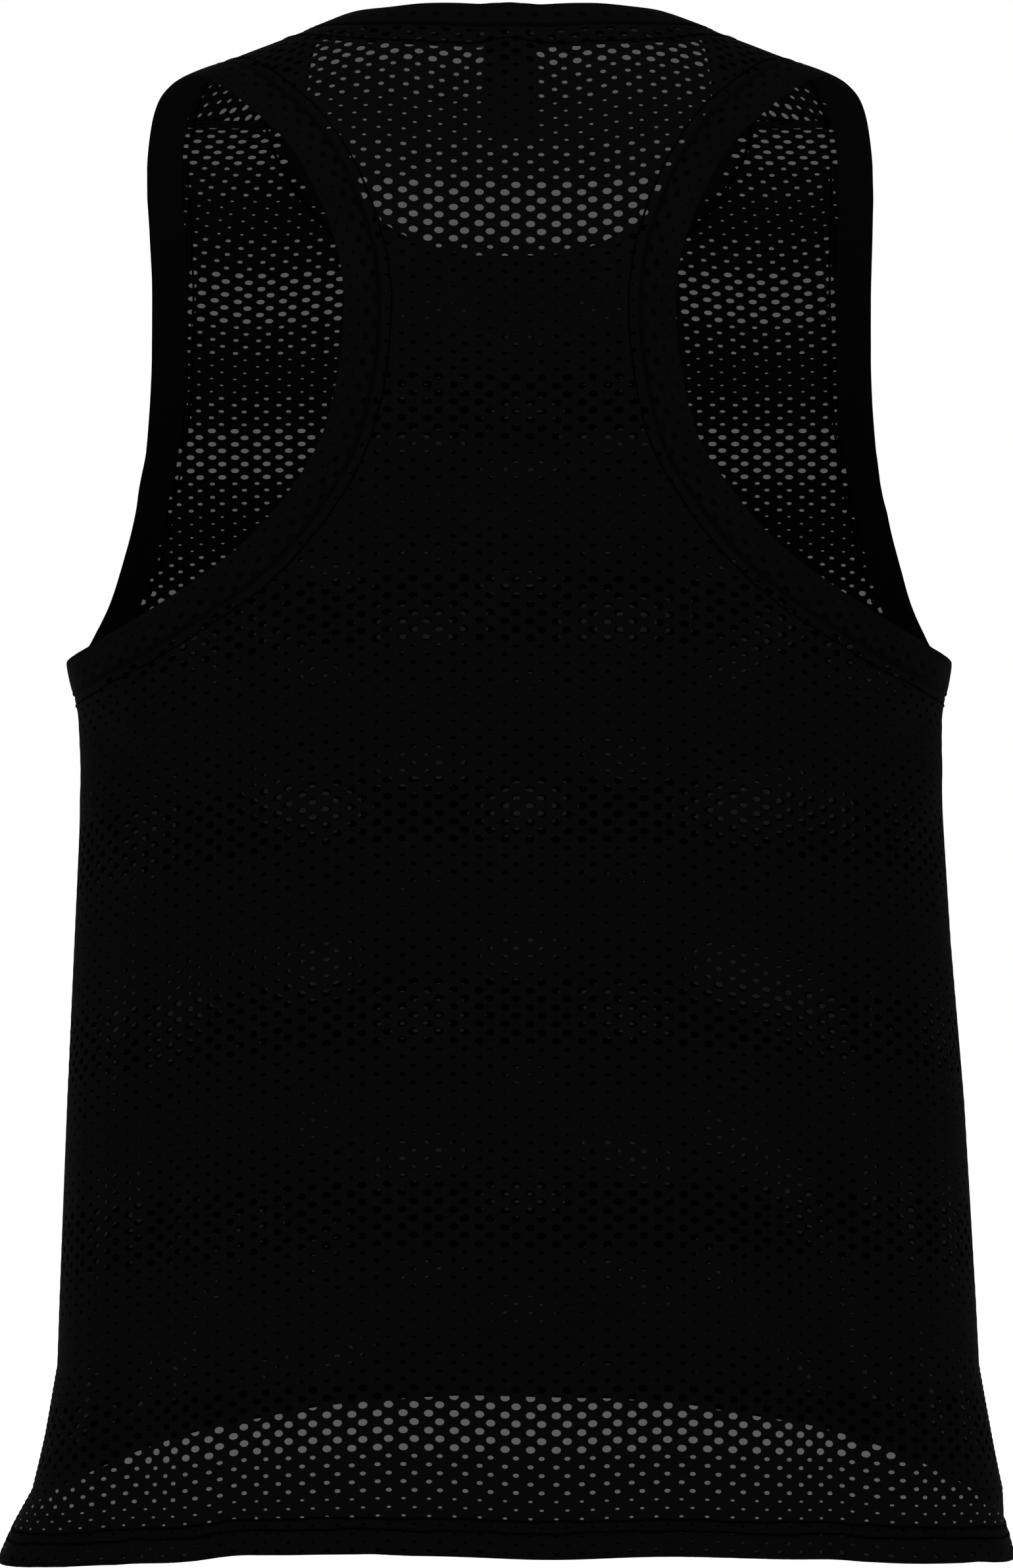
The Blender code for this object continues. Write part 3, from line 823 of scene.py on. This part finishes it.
def sums(calculate):
    """Adding, taking away, multiplying and dividing with a shader group's nodes."""
    return (partial(calculate, operation) for operation in ("ADD", "SUBTRACT", "MULTIPLY", "DIVIDE"))


def knit_grain_group():
    """Shader group: the fine ribs and loops of the knit, with painted shade in their dips, and the
    soft unevenness of its dye.
    """
    group, given, result, place, calculate = cloth_group(
        "knit_grain",
        (("Wale Pitch", 0.00062), ("Course Pitch", 0.00048), ("Grain", 0.35)),
        ("Shade", "Height"),
    )
    plus, minus, times, over = sums(calculate)
    nodes, links = group.nodes, group.links
    where = nodes.new("ShaderNodeTexCoord")

    def unevenness(scale, detail, roughness, amount):
        noise = nodes.new("ShaderNodeTexNoise")
        noise.inputs["Scale"].default_value = scale
        noise.inputs["Detail"].default_value = detail
        noise.inputs["Roughness"].default_value = roughness
        links.new(where.outputs["Object"], noise.inputs["Vector"])
        return times(minus(noise.outputs["Fac"], 0.5), amount)

    wale = over(place["X"], given["Wale Pitch"])
    course = over(place["Y"], given["Course Pitch"])
    rib = calculate("ABSOLUTE", calculate("SINE", times(wale, math.pi)))
    loop = calculate("SINE", times(plus(course, times(rib, 0.5)), 2 * math.pi))
    height = times(rib, plus(times(loop, 0.35), 0.65))
    speck = unevenness(scale=2300.0, detail=2.0, roughness=0.7, amount=given["Grain"])
    dye = unevenness(scale=26.0, detail=3.0, roughness=0.5, amount=0.22)
    # Painted shade: the knit's dips darker and its raised ribs and loops lighter, by their height
    ribs = times(minus(height, 0.45), 0.16)
    links.new(plus(plus(speck, dye), plus(ribs, 1.0)), result["Shade"])
    links.new(height, result["Height"])
    return group


knit_grain = knit_grain_group()


def mixed_colour(tree, factor, first, second, blend="MIX"):
    """Two colours mixed, where each input is a value or comes from a node."""
    mix = tree.nodes.new("ShaderNodeMix")
    mix.data_type = "RGBA"
    mix.blend_type = blend
    for label, value in (("Factor", factor), ("A", first), ("B", second)):
        if isinstance(value, (float, tuple)):
            mix.inputs[label].default_value = value
        else:
            tree.links.new(value, mix.inputs[label])
    return mix.outputs["Result"]


CLOTH_BLACK = (0.0026, 0.0026, 0.0026, 1.0)
CLOTH_SHEEN, CLOTH_SPECULAR, CLOTH_ROUGHNESS = 0.0006, 0.006, 0.8
KNIT_DEPTH = 0.00015


def knit_material(name, colour=CLOTH_BLACK, grain=1.3, bump=0.5, alpha=1.0, shine=1.0):
    """Matte black knit whose grain follows the flat cloth."""
    material, shader = plain_material(name, colour, CLOTH_ROUGHNESS, CLOTH_SPECULAR * shine)
    tree = material.node_tree
    shader.inputs["Sheen Weight"].default_value = CLOTH_SHEEN * shine
    shader.inputs["Sheen Roughness"].default_value = 0.5
    shader.inputs["Alpha"].default_value = alpha
    knit = tree.nodes.new("ShaderNodeGroup")
    knit.node_tree = knit_grain
    knit.inputs["Grain"].default_value = grain
    shade = mixed_colour(tree, 1.0, colour, knit.outputs["Shade"], "MULTIPLY")
    tree.links.new(shade, shader.inputs["Base Color"])
    relief = tree.nodes.new("ShaderNodeBump")
    relief.inputs["Strength"].default_value = bump
    relief.inputs["Distance"].default_value = KNIT_DEPTH
    tree.links.new(knit.outputs["Height"], relief.inputs["Height"])
    tree.links.new(relief.outputs["Normal"], shader.inputs["Normal"])
    return material


# The sheer ground's near-black colour, with little sheen, is painted shade of the dark inside seen
# through the eyelets; its cover dims what shows through
GROUND_SHADE_BLACK, GROUND_COVER = (0.0003, 0.0003, 0.0003, 1.0), 0.912
mesh_knit = knit_material("mesh_knit")
sheer_ground_painted_shade = knit_material(
    "sheer_ground_painted_shade", GROUND_SHADE_BLACK, grain=2.0, bump=0.2, alpha=GROUND_COVER, shine=0.3
)

# Rows of the weave, numbered upwards from the first row of big eyelets below the neck, and
# their heights above the hem up the middle of the back
BACK_ROWS = (
    (-186, -75.0), (-164, 0.0), (-144, 68.8), (-120, 151.4), (-96, 234.1), (-72, 316.4),
    (-48, 398.1), (-24, 479.8), (0, 560.2), (6, 580.6), (11, 598.0), (17, 618.4), (60, 763.0),
)
# Where one column of eyelets lies, and the level up to which the cloth is laid flat
BACK_COLUMN, BACK_TOP = 2.44, 17.6


def back_rise(u, w):
    """How far the rows curve up towards the armholes, and beside the nape, where they are pulled."""
    aside = np.abs(u)
    to_armholes = 2.6 * np.minimum(aside / 56, 1.3) ** 2 * eased(grown(w, 430, 520))
    slack = 33 - 19 * grown(w, 560, 620)
    beside_nape = 3.8 * grown(w, 545, 620) * eased((aside - slack) / 34)
    over_label = 2.0 * grown(w, 596, 618) * (1 - eased(grown(aside, 5, 17)))
    middle = 0.5 * grown(w, 520, 560) * np.exp(-((u / 25) ** 2))
    hem_rise = between(BACK_HEM_RISE, 0.93 * u) * (1 - eased(grown(aside, 150, 170)))
    return to_armholes + beside_nape + over_label + middle - hem_rise


def back_lean(column, w):
    """How far the columns lean towards the middle below the nape, and away from the label."""
    to_middle = 1.4 * (np.clip(w - 560, 0, 80) / 60) ** 2 * np.clip(column / 20, -1, 1)
    off_label = 0.9 * grown(w, 575, 615) * column / 10 * np.exp(0.5 - (column / 10) ** 2 / 2)
    return to_middle - off_label


back_weave = Weave(BACK_EYELETS, BACK_ROWS, BACK_COLUMN, UNEVEN_STAGGER, back_rise, back_lean)
back_flat = FlatCloth(BACK_HEM, BACK_TOP)
back_outline, back_corners = panel_outline(back_flat, neck_halves[0], armhole_halves[0], shoulder_seam)
back_sheet = perforated_sheet(back_outline, back_corners, back_weave)
lay_sheet(back_sheet, back_flat)
back_cloth = finished_piece("back_cloth", back_sheet, (mesh_knit, sheer_ground_painted_shade))
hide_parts("back_panel")


# ----------------------------------------------------------------------------- Front panel
# The same knit, cut with a scooped neck. It meets the back panel at the sides, down to the
# slits, and in front of the shoulders, and its turned-up hem hangs a little higher.

FRONT_EYELETS = {BIG: (2.12, 1.34), MEDIUM: (1.25, 0.74), SMALL: (0.80, 0.40)}
FRONT_ROWS = (
    (-176, -63.0), (-144, 46.0), (-120, 128.0), (-96, 210.0), (-72, 292.0), (-48, 374.0),
    (-24, 444.8), (0, 514.4), (12, 550.8), (17, 567.0), (23, 584.1), (24, 585.6), (60, 690.0),
)
FRONT_COLUMN, FRONT_TOP = -3.72, 15.0
# The height at which a row of the front lies level all the way from side to side
LEVEL_ROW_Z = -130.0


def front_rise(u, w):
    """How far the rows curve up towards the neck."""
    return 3.6 * (1 - eased(grown(np.abs(u), 50, 125))) * eased(grown(w, 440, 510))


def front_lean(column, w):
    """How far the columns lean towards the neck near the shoulders, and a little to the left."""
    to_neck = 4.1 * (np.maximum(w - 444, 0) / 70) ** 1.65 * np.clip(column / 80, -1, 1)
    return to_neck - 0.9 * np.clip((w - 480) / 90, 0, 1.2)


front_weave = Weave(
    FRONT_EYELETS, FRONT_ROWS, FRONT_COLUMN, -UNEVEN_STAGGER, front_rise, front_lean
)
front_flat = FlatCloth(FRONT_HEM, FRONT_TOP, LEVEL_ROW_Z)
SHOULDER_ALLOWANCE, TUCK_DEPTH, SHOULDER_MM_PER_LEVEL = 5.0, 0.78, 22.0


def tucked_at_shoulder(turn, level):
    """How deep the front panel's allowance lies inside the back panel, past the shoulder seam."""
    past = (shoulder_seam_level(np.abs(turn)) - level) * SHOULDER_MM_PER_LEVEL
    return TUCK_DEPTH * eased(grown(past, -0.8, 1.0)) * (np.abs(turn) > 0.2)


front_shoulder = moved_across(*shoulder_seam, SHOULDER_ALLOWANCE)
front_outline, front_corners = panel_outline(
    front_flat, neck_halves[1], armhole_halves[1], front_shoulder
)
front_sheet = perforated_sheet(front_outline, front_corners, front_weave)
lay_sheet(front_sheet, front_flat, tucked_at_shoulder)
front_cloth = finished_piece("front_cloth", front_sheet, (mesh_knit, sheer_ground_painted_shade))
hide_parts("front_panel")


# ------------------------------------------------------------------- Side and shoulder seams
# The panels are overlocked together down the sides and in front of the shoulders. The side
# allowances lie inside, turned towards the back, as the front panel's does at the shoulders.
# Below the side seams the slit edges are turned in 3 mm.

# Rows of the turned edge and the allowance: distance in from the edge, lift off the cloth
SLIT_TURNING = ((0.00, -0.42), (0.12, -0.80), (0.60, -1.02), (1.90, -0.98), (3.20, -1.06))
SEAM_ALLOWANCE = ((0.00, -0.42), (0.30, -0.75), (2.00, -0.95), (4.50, -0.90), (6.50, -1.12))
PLACE_STEP, WELD = 2.5, 1e-7


def grid_at(sheet, points):
    """Adds a grid of faces to a bmesh, with one vertex at each of rows of points."""
    rows, columns = points.shape[:2]
    made = bmesh.ops.create_grid(sheet, x_segments=columns - 1, y_segments=rows - 1, size=1.0)
    at = {}
    for vert in made["verts"]:
        i = round((vert.co.x + 1) / 2 * (columns - 1))
        j = round((vert.co.y + 1) / 2 * (rows - 1))
        at[vert] = (i, j)
        vert.co = points[j, i]
    return at


def strip_at(sheet, turn, level, lift, across, run=None):
    """Adds a strip of cloth to a bmesh, in rows at distances across. Given a run, it is a ring."""
    points = on_garment(turn, level, lift)
    outward = on_garment(turn, level, lift + 1.0) - points
    closed = run is not None
    if closed:
        points[:, 0] = points[:, -1] = (points[:, 0] + points[:, -1]) / 2
    else:
        run = run_along(points[len(points) // 2])
    at = grid_at(sheet, points)
    uv = sheet.loops.layers.uv.get("cloth") or sheet.loops.layers.uv.new("cloth")
    faces = list({f for v in at for f in v.link_faces})
    for face in faces:
        for loop in face.loops:
            i, j = at[loop.vert]
            loop[uv].uv = (run[i], across[j] * MM)
    middle, flattest = len(run) // 2, int(np.argmax(lift[:, 0]))
    sample = next(f for f in faces if any(at[v] == (middle, flattest) for v in f.verts))
    sample.normal_update()
    if sample.normal.dot(Vector(outward[flattest, middle])) < 0:
        bmesh.ops.reverse_faces(sheet, faces=faces)
    if closed:
        bmesh.ops.remove_doubles(sheet, verts=list(at), dist=WELD)
    return at


SLIT_START, ARMHOLE_GAP, HEM_LAYER = 0.3, 1.0, 0.75


def edge_strip(sheet, cloth, sign, low, high, profile, under_hem=0.0):
    """Adds a strip inside a side edge of a panel, from one height above the hem to another."""
    w = np.linspace(low, high, max(3, int((high - low) / PLACE_STEP)))
    inward, lift = np.array(profile).T[:, :, None]
    turn, level = cloth.place(cloth.side(w, sign) - sign * inward, w)
    buried = under_hem * (1 - eased((w - TURN_UP + 1) / 3))
    ripple = 0.07 * np.sin(w / 2.9) + 0.05 * np.sin(w / 7.3 + 1.0)
    strip_at(sheet, turn, level, lift - buried + ripple * (inward > 1), run_along(np.array(profile)))


def slit_height(cloth, sign):
    """How far above the hem a side edge's slit ends."""
    w = np.linspace(30, 150, 241)
    z = worn_surface(*cloth.place(cloth.side(w, sign), w))[:, 2]
    return float(np.interp(SLIT_TOP_Z, z, w))


def side_top(cloth, sign):
    """How far above the hem a side edge meets the armhole."""
    return cloth.flat(np.array([float(sign)]), armhole_halves[0][1][:1])[0, 1]


seam_knit = knit_material("seam_knit", (0.0030, 0.0030, 0.0032, 1.0), grain=0.9, bump=0.8)
slit_sheet = bmesh.new()
allowance_sheet = bmesh.new()
for sign in (1, -1):
    for cloth in (back_flat, front_flat):
        edge_strip(
            slit_sheet, cloth, sign, SLIT_START, slit_height(cloth, sign), SLIT_TURNING, HEM_LAYER
        )
    edge_strip(
        allowance_sheet, back_flat, sign, slit_height(back_flat, sign),
        side_top(back_flat, sign) - ARMHOLE_GAP, SEAM_ALLOWANCE,
    )
finished_piece("slit_edges", slit_sheet, (mesh_knit,))
finished_piece("seam_allowances", allowance_sheet, (seam_knit,))


# ---------------------------------------------------------------------- Neck and armhole bands
# Strips of the same knit, folded lengthwise and sewn on all round with their cut edges turned
# under the panel, then stitched down through it: 4.4 mm from the seam at the armholes, and 9.8
# mm behind and 7 mm in front at the neck. Two layers hide most eyelets.

NECK_BAND, ARMHOLE_BAND = 12.4, 15.0
SEAM_ROLL_ROWS, SEAM_ROW, FACE_ROW = (3, 7), 4, 8
SHADED_ROLL_SLOT, TURNED_SLOT = 1, 2
SPOT_PITCH, SPOT_ROW = 10.6, 3.3
# Painted shade of the band's eyelets, where the layer below shows through them in shade
EYELET_SHADE_BLACK = (0.0006, 0.0006, 0.0007, 1.0)


def band_profile(width, reach):
    """Rows round a folded band: distance from the seam towards the opening, lift off the cloth.

    They run from the edge that is turned under the panel, past the seam, over the band's
    face, round its fold and back inside. The reach under the panel may vary along the band."""
    return (
        (-reach, -0.95), (-0.4 - 0.55 * reach, -0.88), (-0.9, -0.72), (-0.25, -0.40), (0.05, 0.02),
        (0.45, 0.42), (0.95, 0.50), (1.45, 0.38), (2.1, 0.42), (0.27 * width, 0.60),
        (0.50 * width, 0.68), (0.73 * width, 0.66), (width - 1.8, 0.54), (width - 0.6, 0.34),
        (width - 0.1, 0.08), (width, -0.20), (width - 0.2, -0.50), (width - 1.0, -0.80),
        (0.67 * width, -1.02), (0.33 * width, -1.08), (0.8, -1.12), (-1.4, -1.14),
    )


def eyelet_spots_group():
    """Shader group: staggered rows of eyelets, as spots of painted shade for a double knit, where the
    layer below shows in shade, and as holes.
    """
    group, given, result, place, calculate = cloth_group(
        "eyelet_spots",
        (("First Row", 0.008), ("From", 0.006), ("To", 0.02), ("Small From", 0.0128)),
        ("Shaded Spot", "Hole"),
    )
    plus, minus, times, over = sums(calculate)
    nodes, links = group.nodes, group.links
    run, across = place["X"], place["Y"]
    row = over(minus(across, given["First Row"]), SPOT_ROW * MM)
    row_number = calculate("ROUND", row)
    half = times(calculate("MODULO", calculate("ABSOLUTE", row_number), 2.0), 0.5)
    column = plus(over(run, SPOT_PITCH * MM), half)
    column_number = calculate("ROUND", column)
    which = nodes.new("ShaderNodeCombineXYZ")
    links.new(row_number, which.inputs["X"])
    links.new(column_number, which.inputs["Y"])
    noise = nodes.new("ShaderNodeTexWhiteNoise")
    noise.noise_dimensions = "2D"
    links.new(which.outputs["Vector"], noise.inputs["Vector"])
    chance = noise.outputs["Value"]
    small = calculate("GREATER_THAN", across, given["Small From"])
    size = minus(minus(1.0, times(small, 0.45)), times(chance, 0.18))
    off_column = times(minus(column, column_number), SPOT_PITCH / 1.9)
    off_row = times(minus(row, row_number), SPOT_ROW / 1.35)
    radius = calculate("SQRT", plus(times(off_column, off_column), times(off_row, off_row)))
    edge = times(minus(1.15, over(radius, size)), 3.5)
    edge = calculate("MINIMUM", calculate("MAXIMUM", edge, 0.0), 1.0)
    past_start = calculate("GREATER_THAN", across, given["From"])
    before_end = calculate("LESS_THAN", across, given["To"])
    hole = times(edge, times(past_start, before_end))
    links.new(hole, result["Hole"])
    # How much painted shade each eyelet spot gets, varied at random
    links.new(times(hole, plus(times(chance, 0.35), 0.60)), result["Shaded Spot"])
    return group


eyelet_spots = eyelet_spots_group()


def spotted_knit(name, first_row, start, end, small_from):
    """A knit with rows of eyelets at distances from the seam, and the nodes that place them."""
    material = knit_material(name)
    spots = material.node_tree.nodes.new("ShaderNodeGroup")
    spots.node_tree = eyelet_spots
    distances = {"First Row": first_row, "From": start, "To": end, "Small From": small_from}
    for label, distance in distances.items():
        spots.inputs[label].default_value = distance * MM
    return material, spots.outputs


def band_material(name, first_row, start, end, small_from):
    """The knit of a band, with painted shade where its eyelets lie over the layer below."""
    material, spots = spotted_knit(name, first_row, start, end, small_from)
    tree = material.node_tree
    base = tree.nodes["Principled BSDF"].inputs["Base Color"]
    darker = mixed_colour(tree, spots["Shaded Spot"], base.links[0].from_socket, EYELET_SHADE_BLACK)
    tree.links.new(darker, base)
    return material


def allowance_material(name, openness):
    """A single layer of the knit in a seam allowance, whose eyelets let light through."""
    material, spots = spotted_knit(name, first_row=-3.85, start=-12.0, end=1.0, small_from=3.0)
    nodes, links = material.node_tree.nodes, material.node_tree.links
    cover = nodes.new("ShaderNodeMath")
    cover.operation = "MULTIPLY_ADD"
    cover.inputs[1].default_value = -openness
    cover.inputs[2].default_value = 1.0
    links.new(spots["Hole"], cover.inputs[0])
    links.new(cover.outputs["Value"], nodes["Principled BSDF"].inputs["Alpha"])
    return material


def folded_band(name, seam, toward, width, reach, materials, sign=1, both_halves=False):
    """A folded strip sewn along a seam and turned towards the opening."""
    profile = band_profile(width, reach)
    lift = np.array([height for _, height in profile])
    across = np.array([distance * np.ones(len(seam[0])) for distance, _ in profile])
    rows = [moved_across(*seam, toward * distance) for distance in across]
    turn, level = (np.array([row[i] for row in rows]) for i in (0, 1))
    if both_halves:
        turn = np.concatenate([turn, -turn[:, -2::-1]], 1)
        level, across = (np.concatenate([part, part[:, -2::-1]], 1) for part in (level, across))
    run = run_along(on_garment(turn[FACE_ROW], level[FACE_ROW], 0.0))
    s = run / MM
    pucker = 0.10 * np.sin(s / 0.83 + np.sin(s / 9.0)) + 0.07 * np.sin(s / 2.1 + 0.7)
    wave = 0.16 * np.sin(s / 11.0) + 0.12 * np.sin(s / 6.3 + 2.0) + 0.2 * np.sin(s / 31.0 + 1.0)
    depth = lift[:, None] + pucker * np.exp(-((across / 1.6) ** 2)) + wave * grown(across, 0, width)
    flat_across = run_along(np.stack([across[:, 0], lift], -1))
    sheet = bmesh.new()
    at = strip_at(sheet, sign * turn, level, depth, flat_across - flat_across[SEAM_ROW], run)
    # Rows that roll into the seam take a darker knit, painted shade of the groove there; rows turned
    # under take the allowance knit
    low, high = SEAM_ROLL_ROWS
    for face in sheet.faces:
        rows_of_face = [at[vert][1] for vert in face.verts]
        if low <= min(rows_of_face) and max(rows_of_face) <= high:
            face.material_index = SHADED_ROLL_SLOT
        elif max(rows_of_face) <= low:
            face.material_index = TURNED_SLOT
    band = finished_piece(name, sheet, materials, smooth_angle=70)
    return band


neck_knit = band_material("neck_band_knit", first_row=5.5, start=3.9, end=7.1, small_from=30.0)
armhole_knit = band_material(
    "armhole_band_knit", first_row=2.35, start=0.85, end=14.75, small_from=7.15
)
# Darker than the band: painted shade in the groove where the band rolls into the seam
seam_roll_shade = knit_material("seam_roll_shade", (0.0016, 0.0016, 0.0017, 1.0), grain=2.2, bump=1.0)
neck_turned = allowance_material("neck_turned_under", openness=0.12)
armhole_turned = allowance_material("armhole_turned_under", openness=0.8)
neck_cloths = (neck_knit, seam_roll_shade, neck_turned)
armhole_cloths = (armhole_knit, seam_roll_shade, armhole_turned)

# How far the allowances reach under the panels: they hide the strip up to its stitching on the
# upper back, and are trimmed short elsewhere, where the panel's eyelets stay open
neck_reach = 10.8 - 9.2 * eased((neck_seam[1] - 14) / 2)
armhole_reach = 1.1 + 4.3 * (eased(armhole_seam[1] - 10.2) - eased(armhole_seam[1] - 15))
neck_binding = folded_band(
    "neck_binding", neck_seam, 1, NECK_BAND, neck_reach, neck_cloths, both_halves=True
)
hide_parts("neck_band")
for side, sign in (("left", 1), ("right", -1)):
    binding = folded_band(
        side + "_armhole_binding", armhole_seam, -1, ARMHOLE_BAND, armhole_reach, armhole_cloths, sign
    )
    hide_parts("armhole_band_" + side)


# ------------------------------------------------------------------------------- Stitching
# Black polyester thread. One line holds down each band's allowance, with a thick looped line
# of its own inside, two lines from a twin needle hold the hems, and one follows each slit edge.
# The thread is near black: its own colour and painted shade of the groove each line pulls
# into the knit. The thick inside line at the neck is also painted shadow of the gap between the band's
# layers.

STITCH, PLACES_PER_STITCH = 2.6, 4
THREAD_SIDES, THREAD_WIDE, THREAD_HIGH, THREAD_DIP = 5, 1.15, 0.8, 0.14
THREAD_RADIUS, TACK_RADIUS, SLIT_RADIUS, HEM_RADIUS, LOOPED_AND_GAP_SHADE_RADIUS = 0.27, 0.32, 0.45, 0.5, 0.75
INSIDE_LIFT = -1.45
HEM_LINES, SLIT_LINE, TACK_LENGTH = (10.3, 15.0), 2.2, 3.4

# Near black: the thread's own colour and painted shade of the stitch grooves
THREAD_AND_SHADE_BLACK = (0.0004, 0.0004, 0.0004, 1.0)
thread_and_groove_shade = plain_material("black_thread_and_groove_shade", THREAD_AND_SHADE_BLACK, roughness=0.7, specular=0.002)[0]


def sew(sheet, turn, level, lift=0.05, wobble=0.15, phase=0.0, radius=THREAD_RADIUS):
    """Adds a line of stitches to a bmesh, along a path on the garment."""
    length = run_along(worn_surface(turn, level))[-1]
    count = int(length / STITCH * PLACES_PER_STITCH) + 1
    turn, level = evenly_spaced(turn, level, count)
    s = np.linspace(0, length, count)
    dip = np.abs(np.sin(np.pi * s / STITCH + phase))
    centre = on_garment(turn, level, lift + THREAD_DIP * dip)
    normal = unit(on_garment(turn, level, lift + THREAD_DIP * dip + 1.0) - centre)
    side = np.cross(unit(np.gradient(centre, axis=0)), normal)
    sway = np.sin(s / 7.9 + phase) + 0.7 * np.sin(s / 3.1 + 2 * phase) + 0.8 * np.sin(s / 23 + phase)
    centre += side * (wobble * MM * sway)[:, None]
    thick = radius * MM * (0.72 + 0.28 * dip)
    rings = []
    for i in range(THREAD_SIDES + 1):
        angle = i % THREAD_SIDES * 2 * math.pi / THREAD_SIDES
        oval = side * THREAD_WIDE * math.cos(angle) + normal * THREAD_HIGH * math.sin(angle)
        rings.append(centre + oval * thick[:, None])
    made = grid_at(sheet, np.array(rings))
    bmesh.ops.remove_doubles(sheet, verts=list(made), dist=WELD)


def hem_line(cloth, w):
    """A path across a panel at one height above its hem."""
    u = np.linspace(*(float(cloth.side(w, sign)) for sign in (-1, 1)), PATH_PLACES)
    return cloth.place(u, w)


band_thread = bmesh.new()
HALF_NECK, LABEL_RISE, LABEL_RISE_WIDTH = 318.0, 3.0, 12.5
neck_run = np.linspace(0, HALF_NECK, len(neck_stitching[0]))
over_label = LABEL_RISE * np.exp(-((neck_run / LABEL_RISE_WIDTH) ** 2))
neck_line = moved_across(*neck_stitching, over_label)
for sign in (1, -1):
    neck, armhole = ((sign * turn, level) for turn, level in (neck_line, armhole_stitching))
    sew(band_thread, *neck, phase=0.4 * sign)
    sew(band_thread, *armhole, phase=1.0 + sign)
    sew(band_thread, *neck, lift=INSIDE_LIFT, phase=sign, radius=LOOPED_AND_GAP_SHADE_RADIUS)
    sew(band_thread, *armhole, lift=INSIDE_LIFT, radius=HEM_RADIUS)

hem_thread = bmesh.new()
for cloth, phase in ((back_flat, 0.3), (front_flat, 1.7)):
    for w in HEM_LINES:
        sew(hem_thread, *hem_line(cloth, w), wobble=0.22, phase=phase + w, radius=HEM_RADIUS)
    for sign in (1, -1):
        w = np.linspace(0.6, slit_height(cloth, sign), 60)
        side_line = cloth.place(cloth.side(w, sign) - sign * SLIT_LINE, w)
        sew(hem_thread, *side_line, wobble=0.12, phase=phase + sign, radius=SLIT_RADIUS)
        tack_u = cloth.side(w[-1], sign) - sign * np.linspace(0.2, TACK_LENGTH, 8)
        sew(hem_thread, *cloth.place(tack_u, w[-1]), wobble=0.0, radius=TACK_RADIUS)

for name, sheet in (("band_stitching", band_thread), ("hem_stitching", hem_thread)):
    bmesh.ops.recalc_face_normals(sheet, faces=sheet.faces)
    finished_piece(name, sheet, (thread_and_groove_shade,), smooth_angle=80)


# ------------------------------------------------------------------------------- Neck label
# A blank woven tab, 21 by 42 mm, caught in the neck seam inside the middle of the back.

LABEL_WIDTH, LABEL_LENGTH, LABEL_CLOTH = 21.0, 42.0, 0.28
LABEL_TUCK, LABEL_TOP_LEVEL = 3.4, 10.88
LABEL_COLUMNS, LABEL_ROWS = 14, 30
LABEL_DARK, LABEL_LIGHT = (0.0030, 0.0030, 0.0032, 1.0), (0.0046, 0.0046, 0.0048, 1.0)

label_weave, label_shader = plain_material("label_weave", LABEL_DARK, roughness=0.55, specular=0.12)
label_tree = label_weave.node_tree
label_ribs = label_tree.nodes.new("ShaderNodeTexWave")
label_ribs.bands_direction = "Z"
label_ribs.inputs["Scale"].default_value = 900.0
label_ribs.inputs["Distortion"].default_value = 0.6
label_where = label_tree.nodes.new("ShaderNodeTexCoord")
label_tree.links.new(label_where.outputs["Object"], label_ribs.inputs["Vector"])
label_tone = mixed_colour(label_tree, label_ribs.outputs["Fac"], LABEL_DARK, LABEL_LIGHT)
label_tree.links.new(label_tone, label_shader.inputs["Base Color"])

label_sheet = bmesh.new()
bmesh.ops.create_grid(label_sheet, x_segments=LABEL_COLUMNS, y_segments=LABEL_ROWS, size=1.0)
level_length = np.linalg.norm(surface_frame(np.array(0.0), np.array(LABEL_TOP_LEVEL))[1])
for vert in label_sheet.verts:
    x = vert.co.x * LABEL_WIDTH / 2
    down = (1 - vert.co.y) / 2 * (LABEL_LENGTH + LABEL_TUCK) - LABEL_TUCK
    turn = math.asin(x / WIDTHS[-1][1]) * 2 / math.pi
    level = LABEL_TOP_LEVEL - down / level_length
    bend = 0.25 * math.cos(x / 3.4) + 0.5 * max(down - 30, 0) ** 2 / 100
    vert.co = on_garment(turn, level, -1.35 - min(max(down, 0) / 10, 1) * (0.3 + bend))
bmesh.ops.recalc_face_normals(label_sheet, faces=label_sheet.faces)
bmesh.ops.solidify(label_sheet, geom=label_sheet.faces[:], thickness=LABEL_CLOTH * MM)
blank_label = finished_piece("blank_neck_label", label_sheet, (label_weave,))
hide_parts("neck_label")
